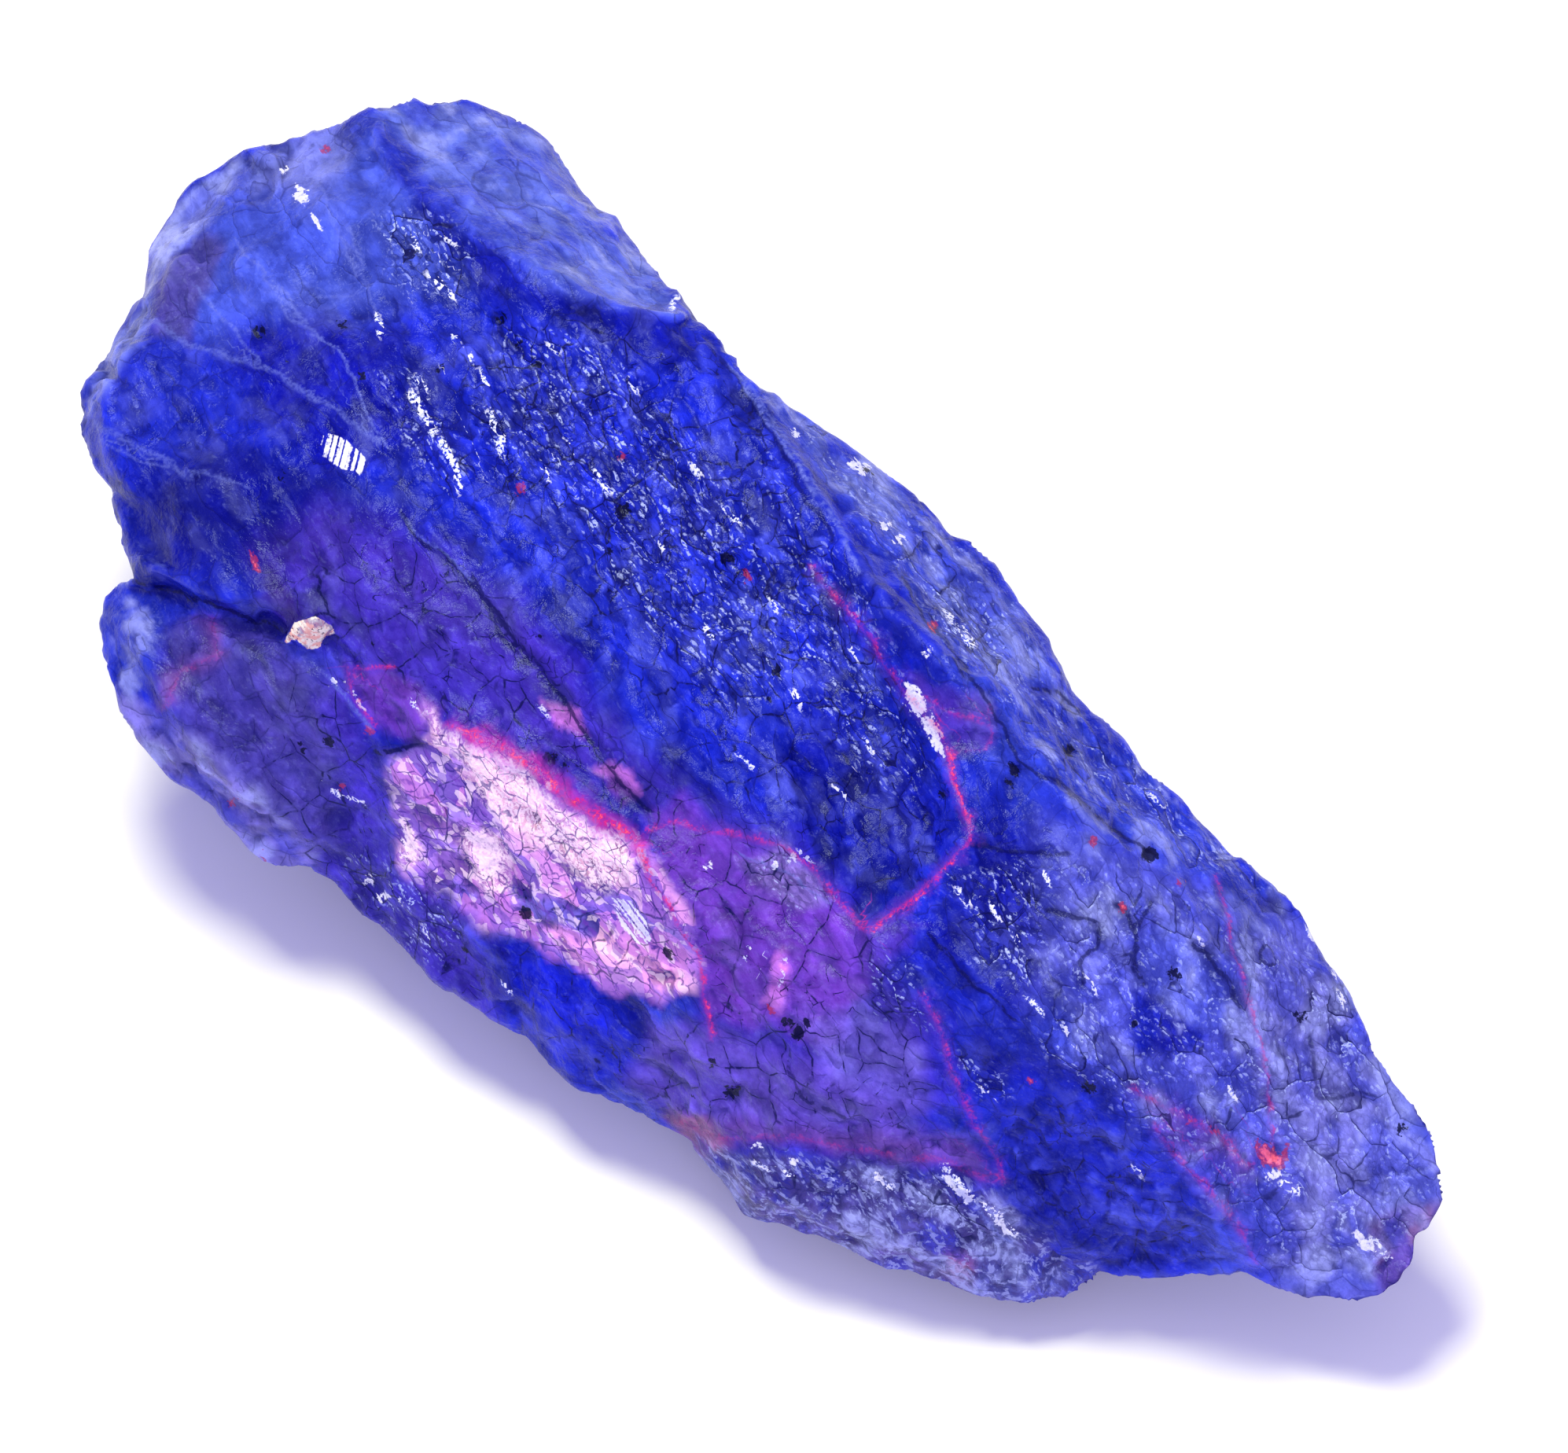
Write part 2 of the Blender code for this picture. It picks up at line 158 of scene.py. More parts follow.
# Colours of the stone.
ROYAL = srgb(12, 30, 180)
DEEP = srgb(3, 8, 138)
AZURE = srgb(46, 64, 196)
LAVENDER = srgb(102, 114, 202)
PALE = srgb(158, 166, 230)
VIOLET = srgb(64, 42, 162)
PURPLE = srgb(102, 50, 168)
MAGENTA = srgb(206, 26, 116)
ROSE = srgb(196, 112, 214)
ORCHID = srgb(214, 132, 226)
IRIS = srgb(108, 74, 190)
PINK = srgb(255, 196, 228)
SMOKE = srgb(72, 62, 132)
SLATE = srgb(84, 76, 150)
RUST = srgb(126, 66, 104)
CORAL = srgb(255, 100, 104)
CHALK = srgb(240, 228, 214)
PEACH = srgb(232, 172, 160)
UMBER = srgb(92, 66, 84)
INK = srgb(6, 6, 84)
GLINT = srgb(184, 198, 252)
WHITE = srgb(236, 236, 255)
WARM = srgb(255, 230, 244)
RED = srgb(150, 36, 76)

# Places on the photograph. Every outline and line is a row of pairs of x and y, in pixels.

# Areas of colour: colour, strength, softness of the edge in pixels, and the outline.
AREAS = {
    "upper_left": (srgb(64, 82, 196), 0.85, 40, (250,260, 470,160, 590,300, 580,370, 430,400, 330,440,
      230,430)),
    "left_edge": (srgb(16, 32, 172), 0.85, 26, (120,490, 210,440, 330,480, 250,590, 160,600, 110,560)),
    "left_deep": (srgb(2, 3, 112), 0.95, 36, (170,610, 320,560, 470,620, 430,700, 330,745, 190,735)),
    "left_hollow": (srgb(0, 3, 152), 0.95, 34, (290,420, 400,400, 500,450, 560,560, 420,600, 330,520)),
    "channel": (ROYAL, 0.75, 34, (600,400, 780,400, 900,430, 980,530, 1070,700, 1130,830, 1190,960,
      1234,1062, 1190,1115, 1115,1172, 1040,1110, 940,1020, 840,920, 740,800, 650,690, 600,560, 560,470)),
    "channel_end": (DEEP, 0.8, 30, (960,960, 1060,900, 1160,960, 1215,1055, 1180,1110, 1110,1165,
      1040,1100)),
    "strip_shade": (DEEP, 0.85, 16, (472,156, 560,262, 612,312, 690,350, 760,385, 850,395, 900,440,
      860,470, 760,430, 660,390, 590,340, 520,260)),
    "far_strip_left": (srgb(86, 102, 200), 0.95, 12, (476,150, 530,116, 610,120, 710,178, 770,268, 840,340,
      875,392, 800,384, 740,388, 685,347, 612,290, 560,235, 510,180)),
    "far_strip_right": (AZURE, 0.85, 14, (960,480, 1060,545, 1190,640, 1250,700, 1330,800, 1380,890,
      1500,1010, 1600,1100, 1650,1150, 1464,1090, 1400,1062, 1345,1002, 1263,908, 1190,815, 1112,681,
      1030,590)),
    "strip_pale_a": (LAVENDER, 0.9, 20, (1020,540, 1110,590, 1150,640, 1150,690, 1100,640, 1040,580)),
    "strip_pale_b": (LAVENDER, 0.7, 26, (1190,740, 1270,740, 1340,830, 1330,870, 1260,850, 1200,800)),
    "lower_right": (srgb(100, 104, 198), 0.8, 50, (1330,1060, 1480,1110, 1640,1180, 1760,1340, 1830,1500,
      1780,1640, 1640,1630, 1530,1480, 1430,1380, 1330,1260)),
    "end_pale": (srgb(124, 124, 204), 0.75, 34, (1600,1190, 1700,1200, 1760,1330, 1840,1480, 1830,1640,
      1720,1680, 1640,1630, 1620,1480, 1590,1300)),
    "facet_pale": (srgb(92, 102, 198), 0.75, 10, (1456,1180, 1500,1170, 1550,1236, 1580,1300, 1519,1300,
      1444,1250)),
    "facet_deep": (srgb(0, 4, 140), 0.95, 8, (1437,1262, 1500,1285, 1544,1310, 1512,1335, 1444,1330)),
    "end_tip": (srgb(124, 80, 128), 0.75, 12, (1745,1550, 1800,1522, 1860,1530, 1845,1610, 1790,1670,
      1750,1650)),
    "purple": (VIOLET, 0.85, 40, (330,700, 420,650, 560,690, 680,780, 740,870, 800,960, 880,1010,
      1000,1060, 1100,1170, 1190,1290, 1200,1400, 1100,1440, 930,1430, 905,1290, 865,1160, 815,1055,
      740,1020, 590,935, 455,850, 380,790)),
    "violet_facet": (PURPLE, 0.9, 14, (830,1030, 870,1010, 905,1052, 990,1078, 1080,1165, 1100,1250,
      1060,1330, 980,1300, 905,1290, 880,1190, 850,1110)),
    "facet_grey": (srgb(136, 114, 186), 0.7, 8, (936,1084, 1000,1082, 1060,1140, 1010,1152, 960,1120)),
    "cells_pale": (srgb(112, 96, 204), 0.6, 14, (1010,1290, 1100,1280, 1180,1330, 1170,1410, 1080,1400)),
    "vein_haze": (srgb(88, 50, 168), 0.6, 10, (1150,850, 1262,896, 1266,950, 1215,964, 1180,930)),
    "vein_end": (srgb(100, 56, 176), 0.5, 12, (1050,1180, 1130,1160, 1170,1180, 1120,1240, 1080,1260)),
    "right_dusk": (srgb(104, 62, 160), 0.5, 16, (1430,1370, 1500,1400, 1600,1470, 1580,1500, 1480,1440)),
    "dusky": (PURPLE, 0.9, 10, (449,846, 505,846, 560,900, 542,950, 482,925)),
    "near_blue": (srgb(10, 20, 178), 0.85, 12, (642,1210, 724,1222, 770,1270, 836,1332, 800,1375, 700,1330,
      655,1270)),
    "near_violet": (VIOLET, 0.75, 26, (330,860, 450,860, 520,1060, 620,1200, 640,1330, 510,1250, 400,1140,
      330,1000)),
    "near_low": (srgb(94, 70, 178), 0.8, 20, (836,1300, 900,1300, 1000,1340, 1160,1400, 1170,1460,
      1000,1430, 860,1420, 800,1380)),
    "red_band": (srgb(98, 60, 140), 0.8, 16, (850,1412, 950,1420, 1100,1432, 1230,1440, 1275,1500,
      1180,1480, 1000,1455, 870,1440)),
    "face_deep": (srgb(20, 30, 164), 0.6, 30, (1250,1400, 1360,1380, 1450,1450, 1530,1540, 1560,1600,
      1450,1620, 1340,1560, 1270,1490)),
    "lobe_edge": (srgb(26, 42, 166), 0.85, 14, (128,760, 180,745, 240,780, 200,850, 170,900, 140,880,
      124,810)),
    "lobe_top": (srgb(64, 54, 140), 0.85, 22, (215,790, 330,790, 390,850, 430,960, 420,1080, 340,1060,
      250,960, 200,870)),
    "lobe_rust": (srgb(118, 72, 122), 0.45, 12, (256,780, 284,800, 288,832, 244,856, 226,900, 204,900,
      220,850, 264,826)),
    "lobe_low": (srgb(112, 104, 172), 0.75, 12, (150,880, 200,910, 262,950, 330,1015, 395,1080, 410,1130,
      310,1110, 230,1040, 160,980, 120,900)),
    "ledge": (srgb(70, 62, 132), 0.95, 10, (884,1446, 960,1462, 1050,1474, 1150,1482, 1240,1500, 1275,1524,
      1318,1572, 1400,1612, 1390,1670, 1300,1690, 1200,1665, 1090,1630, 1000,1590, 930,1565)),
    "ledge_shade": (srgb(84, 70, 140), 0.8, 12, (925,1500, 1000,1530, 1060,1545, 1160,1580, 1200,1620,
      1100,1600, 960,1545)),
    "ledge_end": (srgb(80, 82, 166), 0.8, 14, (1240,1600, 1320,1590, 1400,1612, 1370,1645, 1300,1660,
      1240,1640)),
    "ledge_rust": (RUST, 0.9, 12, (850,1420, 900,1418, 940,1450, 900,1462, 862,1450)),
    "ledge_rust_low": (RUST, 0.9, 12, (1205,1590, 1245,1598, 1240,1632, 1200,1622)),
    "glow": (srgb(170, 116, 214), 0.92, 9, (538,896, 566,915, 600,938, 700,1000, 815,1068, 850,1110,
      880,1170, 898,1225, 884,1262, 800,1270, 720,1222, 650,1185, 580,1150, 515,1100, 495,1030, 505,968,
      545,950, 556,925)),
    "ridge_glow": (srgb(212, 40, 150), 0.9, 7, (576,910, 612,928, 655,953, 722,997, 788,1042, 832,1074,
      820,1090, 768,1060, 700,1014, 640,974, 590,938)),
    "glow_heart": (PINK, 1.0, 9, (545,904, 594,942, 655,980, 735,1034, 794,1072, 812,1108, 786,1134,
      726,1110, 655,1052, 600,990, 566,938)),
    "glow_end": (srgb(146, 120, 214), 0.85, 12, (792,1116, 828,1104, 866,1166, 880,1206, 830,1206,
      790,1170, 760,1140)),
    "glow_left": (srgb(150, 118, 208), 0.85, 12, (500,960, 550,938, 590,985, 606,1020, 580,1046, 540,1036,
      505,1020)),
    "glow_mid": (PINK, 0.62, 8, (596,1050, 634,1050, 650,1086, 662,1140, 620,1132, 590,1096)),
    "glow_under": (srgb(116, 82, 202), 0.8, 12, (505,1090, 560,1110, 620,1150, 680,1170, 700,1200,
      640,1190, 570,1158)),
    "glow_leaf": (PINK, 0.9, 6, (511,1040, 530,1060, 540,1090, 528,1102, 512,1080)),
    "glow_low": (srgb(236, 158, 226), 0.95, 10, (690,1176, 760,1186, 840,1206, 874,1222, 866,1248,
      800,1262, 730,1222)),
    "glow_flake": (srgb(96, 84, 190), 0.9, 6, (650,1120, 700,1142, 780,1160, 830,1190, 812,1198, 734,1184,
      670,1160)),
    "pink_fleck_a": (ROSE, 0.9, 5, (699,897, 738,903, 748,945, 716,930)),
    "pink_fleck_b": (ROSE, 0.95, 5, (758,982, 782,972, 812,1008, 792,1022)),
    "pink_streak": (ROSE, 0.75, 7, (975,1270, 990,1220, 1004,1210, 1006,1250, 988,1290)),
    "flame": (srgb(44, 16, 104), 0.9, 14, (335,760, 350,715, 372,740, 392,800, 360,800)),
    "top_smoke": (srgb(112, 118, 196), 0.7, 22, (330,190, 430,150, 440,220, 380,250, 320,240)),
    "dark_wedge": (DEEP, 0.6, 14, (700,960, 790,1000, 830,1030, 800,1040, 720,990, 650,940)),
    # painted light: the thin lip and its lower part are made pale, as light shines through them
    "lip": (PALE, 0.72, 8, (180,380, 190,310, 220,250, 264,214, 300,196, 288,240, 252,285, 222,320,
      206,372)),
    "lip_low": (LAVENDER, 0.7, 10, (128,456, 180,374, 204,378, 182,430, 136,490, 108,520)),
    # painted shade: dark bands along the far rims of the outline
    "rim_shade_a": (ROYAL, 0.75, 5, (526,112, 568,110, 618,120, 680,148, 735,203, 765,253, 800,288, 860,358,
      884,392, 868,392, 848,366, 790,304, 752,268, 722,222, 672,164, 612,136, 530,130)),
    "rim_shade_b": (ROYAL, 0.7, 5, (1057,547, 1120,584, 1190,643, 1245,686, 1300,753, 1345,828, 1385,893,
      1440,943, 1500,1003, 1560,1058, 1640,1138, 1700,1223, 1750,1328, 1800,1403, 1840,1470, 1820,1470,
      1786,1410, 1738,1338, 1686,1230, 1628,1150, 1546,1068, 1486,1016, 1426,956, 1370,905, 1330,838,
      1288,765, 1236,704, 1180,655, 1110,600, 1050,562)),
    "lip_shade": (SMOKE, 0.8, 10, (204,344, 262,284, 282,300, 264,372, 240,440, 200,420)),
}

# Lines: the strength of the colour, the half width in pixels, and the line.
VEINS = (
    (1.0, 5, (575,918, 649,960, 711,1003, 780,1049, 811,1070)),
    (0.75, 2.6, (811,1070, 830,1120, 867,1176, 892,1214, 899,1270, 908,1320)),
    (0.45, 2.4, (811,1066, 855,1042, 905,1057, 955,1064, 992,1076, 1030,1101, 1055,1132, 1092,1176,
      1106,1184)),
    (0.45, 3, (1031,719, 1081,781, 1112,812, 1125,844, 1144,869, 1175,905, 1206,950)),
    (0.9, 2.4, (1206,950, 1212,987, 1225,1025, 1238,1048, 1236,1068, 1200,1106, 1169,1137, 1137,1162,
      1106,1182)),
    (0.35, 2.5, (1181,887, 1225,912, 1250,920)),
    (0.25, 2, (1256,900, 1262,937, 1250,956, 1219,956)),
    (0.4, 2.4, (1175,1262, 1200,1312, 1212,1369, 1237,1425, 1269,1462, 1274,1500)),
    (0.2, 3, (862,1428, 925,1444, 1012,1445, 1100,1462, 1187,1472, 1262,1500)),
    (0.38, 1.8, (1544,1112, 1562,1175, 1581,1255, 1600,1317, 1612,1380, 1618,1450)),
    (0.3, 4, (1437,1380, 1494,1411, 1550,1442, 1587,1480)),
    (0.3, 3.5, (1469,1430, 1512,1486, 1550,1524, 1575,1561, 1600,1599)),
    (0.14, 3, (267,787, 280,831, 236,850, 211,900)),
    (0.45, 2, (449,850, 455,887, 480,925)),
    (0.5, 2, (449,848, 505,846)),
)
CRACKS = (
    (0.9, 3, (511,656, 555,700, 611,750, 661,819, 692,850, 724,901, 755,945, 790,1001, 830,1030)),
    (0.8, 3, (600,725, 644,812, 687,850)),
    (1.0, 4, (486,962, 520,948, 555,950, 592,969)),
    (1.0, 6, (624,1075, 642,1112, 667,1150, 674,1187)),
    (0.8, 3, (640,1010, 700,1050, 760,1110, 790,1150)),
    (0.8, 3, (1150,731, 1181,794, 1225,850, 1262,905, 1306,969, 1362,1006, 1419,1056, 1462,1081)),
    (0.7, 3, (1237,1069, 1312,1087, 1356,1087)),
    (0.8, 3, (1331,1156, 1394,1172, 1396,1206, 1369,1225, 1375,1250)),
    (0.8, 3, (1419,1144, 1437,1162, 1450,1200, 1431,1212)),
    (0.8, 3, (1462,1144, 1444,1200, 1450,1250)),
    (0.8, 3, (1519,1200, 1550,1237, 1578,1275)),
    (0.8, 3, (1312,875, 1350,884, 1380,905)),
    (0.7, 2, (1000,1330, 1019,1387, 1075,1419)),
    (0.7, 3, (629,400, 640,425, 666,450)),
    (0.8, 3, (1181,1190, 1240,1250, 1290,1291)),
    (0.9, 3, (177,737, 250,762, 330,790, 364,800)),
    (0.6, 3, (1662,1317, 1675,1392, 1744,1392)),
    (0.7, 3, (900,430, 960,520, 1012,600, 1062,690)),
)
VEILS = (
    (0.45, 3, (247,360, 300,420, 342,470, 400,500, 452,540)),
    (0.4, 3, (380,190, 410,240, 430,300, 452,352)),
    (0.35, 4, (520,150, 560,200, 620,262, 690,320)),
    (0.35, 3, (130,560, 190,590, 260,600, 320,620)),
    (0.5, 3, (297,300, 354,362, 397,425, 429,444, 447,475, 460,512, 497,569)),
    (0.4, 3, (329,337, 372,406, 422,437)),
    (0.45, 5, (197,406, 235,437, 310,456, 372,487, 435,525, 485,562)),
    (0.4, 6, (122,537, 185,569, 247,606)),
    (0.35, 3, (441,287, 460,344, 485,412)),
    (0.3, 2, (404,375, 447,375, 466,356)),
    (0.7, 4, (931,469, 1012,587, 1062,662, 1094,725)),
    (0.5, 3, (950,481, 1044,625, 1081,687)),
    (0.6, 4, (421,860, 455,900, 476,928)),
    (0.4, 3, (511,656, 555,695, 600,735)),
    (0.5, 5, (1212,1500, 1250,1540, 1287,1575)),
    (0.4, 3, (942,1082, 1000,1110, 1055,1145)),
)

# Bright dashes, where a step of the stone shines: strength, half width in pixels, and the lines.
DASH_GROUPS = (
    (1.0, 4, ((524,501, 538,524, 553,550), (546,349, 560,362, 577,380), (1629,1502, 1650,1513))),
    (1.0, 3, ((481,399, 485,425), (562,560, 581,593, 586,626), (532,479, 542,496), (634,540, 645,570))),
    (1.0, 2, ((613,472, 622,496),)),
    (0.9, 4, ((1222,800, 1238,822),)),
    (0.9, 3, ((623,522, 632,548, 641,579), (700,437, 711,448), (520,300, 536,318), (922,644, 940,666),
      (862,376, 856,390), (1249,1530, 1270,1546, 1291,1568), (1206,1486, 1222,1504, 1234,1524),
      (760,600, 776,628), (880,590, 892,606), (900,800, 914,824), (1010,880, 1020,900),
      (1218,1130, 1232,1150), (1000,1490, 1024,1500), (1110,1496, 1136,1508))),
    (0.9, 2, ((577,425, 582,437), (596,445, 601,460), (1326,1108, 1335,1124), (720,560, 730,580),
      (840,690, 852,716), (800,480, 812,500), (690,590, 700,612), (1260,1150, 1272,1172),
      (1290,1190, 1300,1206))),
    (0.8, 3, ((446,1016, 463,1023), (1200,770, 1212,792))),
    (0.8, 2, ((560,300, 580,310), (1305,1265, 1326,1287), (411,995, 439,1016), (980,760, 990,780),
      (1080,820, 1090,842), (1100,940, 1112,960), (1060,1000, 1080,1016), (940,960, 960,978),
      (1460,1010, 1480,1026), (1520,1180, 1528,1200), (1380,1240, 1392,1262), (1660,1180, 1676,1200),
      (1700,1260, 1710,1282), (1560,1380, 1570,1396), (1440,1480, 1452,1496), (960,1476, 980,1486),
      (500,1130, 512,1148), (540,1180, 552,1196))),
    (0.7, 3, ((1742,1573, 1756,1588, 1770,1606),)),
    (0.7, 2, ((1350,1300, 1368,1329), (1235,1376, 1270,1397), (957,1194, 947,1224), (1018,1082, 1032,1094),
      (524,890, 532,902), (548,906, 562,920), (640,1250, 650,1262))),
    (0.6, 2, ((1000,1220, 994,1250), (690,900, 700,912))),
)
DASHES = [(strength, width, line) for strength, width, lines in DASH_GROUPS for line in lines]

# Where the stone shines in stripes: the outline, and the way across the stripes.
STRIPED = (
    ((413,553, 425,551, 444,560, 458,574, 468,585, 469,594, 465,607, 452,599, 436,596, 424,589, 412,580,
      410,565), (1.0, 0.25)),
    ((778,1138, 806,1146, 826,1174, 832,1200, 814,1200, 790,1172), (0.8, -0.6)),
)
# A grain of another mineral that sits in the stone.
GRAIN = (377,792, 393,787, 405,784, 414,789, 424,796, 431,804, 418,810, 413,813, 411,824, 394,827, 386,819,
         377,812, 367,820, 363,816, 371,803)

# Spots with sharp edges, in three kinds: each is a place and a radius in pixels, or an outline.
# pale spots: partly pale flecks of the stone and partly painted glints
PALE_FLECKS_AND_GLINTS = (
    (1150,866, 1166,870, 1180,890, 1177,914, 1160,906),
    (1168,914, 1186,912, 1196,934, 1208,962, 1195,962, 1182,938), (374,232, 388,240, 390,258, 376,256),
    (400,272, 412,280, 410,290), (1180,830, 5), (966,1458, 5), (1246,1362, 4), (1100,598, 8),
    (1086,590, 6), (1130,668, 7), (1144,690, 6), (1012,552, 5), (360,212, 4), (1616,1490, 8),
    (596,1062, 612,1054, 634,1066, 644,1090, 634,1110, 620,1112, 606,1098),
    (511,1042, 524,1052, 536,1078, 530,1100, 516,1086), (1720,1560, 1742,1572, 1752,1592, 1728,1588),
    (1668,1190, 7), (1700,1236, 7), (1196,1478, 1216,1496, 1240,1520, 1232,1530, 1204,1502),
    (1262,1530, 1280,1548, 1290,1566, 1278,1566), (1012,1476, 5), (1120,1494, 5),
    (444,866, 452,872, 470,902, 466,906), (426,868, 5), (470,1120, 5), (490,1140, 5), (700,1003, 6),
    (905,1100, 5), (985,1100, 5), (1010,1092, 5),
)
RED_SPOTS = (
    (667,623, 6), (794,579, 5), (950,731, 8), (1190,796, 8), (1311,1373, 5),
    (323,700, 334,704, 338,726, 326,722), (475,931, 6), (416,187, 5),
    (1594,1452, 1612,1448, 1626,1462, 1636,1452, 1640,1468, 1622,1484, 1606,1482), (1390,1070, 5),
    (1430,1153, 5), (299,1019, 5), (336,1087, 5), (1498,1120, 5), (980,1284, 6), (1540,1436, 6),
    (1512,1424, 5), (440,1000, 3),
)
DARK_SPOTS = (
    (329,423, 8), (438,412, 5), (366,459, 4), (685,462, 7), (640,405, 7), (662,440, 6), (794,650, 9),
    (930,712, 9), (944,730, 8), (1002,1300, 8), (1016,1310, 9), (1030,1296, 6), (930,1388, 8),
    (944,1382, 6), (910,1352, 5), (1384,1381, 8), (1359,956, 9), (1460,1084, 10), (1292,978, 8),
    (1284,996, 6), (702,966, 9), (718,978, 6), (990,850, 7), (672,1160, 8), (668,1136, 6), (1440,1300, 5),
    (780,700, 5), (980,888, 5), (1200,1010, 4), (690,810, 5), (560,470, 4),
)

# Where scales glint: strength, softness in pixels, and the outline.
GLINTS = (
    (0.9, 20, (491,275, 540,262, 590,300, 600,350, 575,385, 520,370, 490,320)),
    (0.8, 16, (478,470, 530,470, 600,600, 560,640, 520,560)),
    (0.7, 16, (600,480, 660,520, 700,600, 650,640, 610,540)),
    (0.8, 30, (640,420, 760,430, 900,560, 980,720, 1010,840, 940,900, 820,800, 720,660, 650,520)),
    (0.7, 30, (960,560, 1060,700, 1140,860, 1180,1000, 1100,1000, 1000,800)),
    (0.9, 16, (1190,750, 1280,760, 1290,850, 1230,860, 1190,810)),
    (0.9, 16, (1212,1110, 1300,1100, 1340,1190, 1310,1240, 1240,1220)),
    (0.8, 12, (1219,1330, 1262,1350, 1280,1400, 1240,1390)),
    (0.7, 16, (1100,1200, 1170,1220, 1180,1300, 1110,1280)),
    (0.55, 10, (930,1466, 1100,1480, 1200,1492, 1290,1560, 1270,1590, 1150,1540, 960,1500)),
    (0.6, 20, (436,1087, 517,1100, 600,1190, 560,1230, 470,1150)),
    (0.6, 20, (1330,1280, 1420,1330, 1520,1440, 1500,1470, 1400,1400, 1330,1330)),
    (0.4, 30, (1330,1080, 1480,1120, 1640,1190, 1760,1360, 1820,1500, 1760,1630, 1620,1600, 1480,1440,
      1340,1300)),
    (0.4, 14, (1000,530, 1110,600, 1250,710, 1380,900, 1500,1020, 1620,1130, 1480,1080, 1340,980, 1240,850,
      1110,680)),
    (0.7, 8, (936,1084, 1000,1082, 1060,1140, 1010,1152, 960,1120)),
    (0.7, 20, (1640,1200, 1700,1240, 1740,1340, 1700,1330, 1640,1260)),
)

# How the areas are broken, and those whose colour is cloudy.
HACKLY = ("channel", "ledge", "glow", "face_deep")
SMOOTH = ("far_strip_left", "upper_left", "left_deep", "lip", "lobe_edge", "facet_pale")
CLOUDY = ("far_strip_left", "far_strip_right", "strip_pale_a", "strip_pale_b", "lip", "end_pale",
          "lobe_edge", "lobe_low", "ledge", "facet_pale", "lower_right")
CRACKED = ("channel", "purple", "violet_facet", "near_low", "glow", "near_blue", "face_deep",
           "near_violet")


def view_axes():
    """Axes of the photograph: right, up and towards the viewer."""
    sin_a, cos_a = math.sin(VIEW_AZIMUTH), math.cos(VIEW_AZIMUTH)
    sin_e, cos_e = math.sin(VIEW_ELEVATION), math.cos(VIEW_ELEVATION)
    back = np.array((sin_a * cos_e, -cos_a * cos_e, sin_e))
    right = np.array((cos_a, sin_a, 0.0))
    return right, np.cross(back, right), back


RIGHT, UP, BACK = view_axes()
PX_PER_MM = math.dist(LEFT_TIP_PX, RIGHT_TIP_PX) / (LENGTH_MM * math.hypot(RIGHT[0], UP[0]))


def on_photo(points_mm):
    """Where points of the stone lie on the photograph, in pixels."""
    x = ORIGIN_PX[0] + points_mm @ RIGHT * PX_PER_MM
    y = ORIGIN_PX[1] - points_mm @ UP * PX_PER_MM
    return np.stack((x, y), axis=1)


def along_grain(points):
    """The same points with their first axis along the grain of the stone."""
    c, s = math.cos(GRAIN_TURN), math.sin(GRAIN_TURN)
    x, y, z = points.T
    return np.stack((x * c - y * s, x * s + y * c, z), axis=1)


# Noise, the same in every run.

MASK = np.uint64(0xFFFFFFFF)
CELL_FACTORS = (np.uint64(374761393), np.uint64(668265263), np.uint64(2147483647))
SEED_FACTOR = 1013904223
MIXERS = ((np.uint64(15), np.uint64(2246822519)), (np.uint64(13), np.uint64(3266489917)))
NEIGHBOURS = [np.array(step) - 1 for step in np.ndindex(3, 3, 3)]


def hashed(cells, seed):
    """Three random numbers from 0 to 1 for each cell of whole coordinates."""
    h = np.uint64(seed * SEED_FACTOR)
    for column, factor in zip(cells.astype(np.uint64).T, CELL_FACTORS):
        h = h + column * factor
    h = h & MASK
    values = []
    for _ in range(3):
        for shift, factor in MIXERS:
            h = ((h ^ (h >> shift)) * factor) & MASK
        h = h ^ (h >> np.uint64(16))
        values.append(h / float(MASK))
    return np.stack(values, axis=1)


def smooth_noise(p, seed):
    """Gradient noise, about -1 to 1."""
    base = np.floor(p).astype(np.int64)
    part = p - base
    fade = part ** 3 * (part * (part * 6 - 15) + 10)
    total = np.zeros(len(p))
    for corner in np.ndindex(2, 2, 2):
        slope = hashed(base + corner, seed) * 2 - 1
        weight = np.where(corner, fade, 1 - fade).prod(axis=1)
        total += weight * ((part - corner) * slope).sum(axis=1)
    return total * 1.5


def layered(p, octaves, seed):
    """Several octaves of noise."""
    total, size = np.zeros(len(p)), 1.0
    for k in range(octaves):
        total += smooth_noise(p * 2.03 ** k, seed + k) * size
        size *= 0.5
    return total


def several(p, octaves, seeds):
    """A column of layered noise for each seed."""
    return np.stack([layered(p, octaves, seed) for seed in seeds], axis=1)


def flakes(p, seed, sharpness):
    """A surface of flat flakes, each tilted its own way, and a number from 0 to 1 for each flake."""
    base = np.floor(p).astype(np.int64)
    total = np.zeros(len(p))
    weights = np.full(len(p), 1e-9)
    heaviest = np.zeros(len(p))
    tone = np.zeros(len(p))
    for step in NEIGHBOURS:
        numbers = hashed(base + step, seed)
        away = p - (base + step + numbers)
        tilt = hashed(base + step, seed + 77) - 0.5
        weight = np.exp(-sharpness * (away ** 2).sum(axis=1))
        total += weight * ((away * tilt).sum(axis=1) + (numbers[:, 0] - 0.5) * 0.35)
        weights += weight
        tone = np.where(weight > heaviest, tilt[:, 2] + 0.5, tone)
        heaviest = np.maximum(heaviest, weight)
    return total / weights, tone


def rise(low, high, value):
    """0 below low, 1 above high, smooth between."""
    part = np.clip((value - low) / (high - low), 0, 1)
    return part * part * (3 - 2 * part)


# Distances on the photograph.

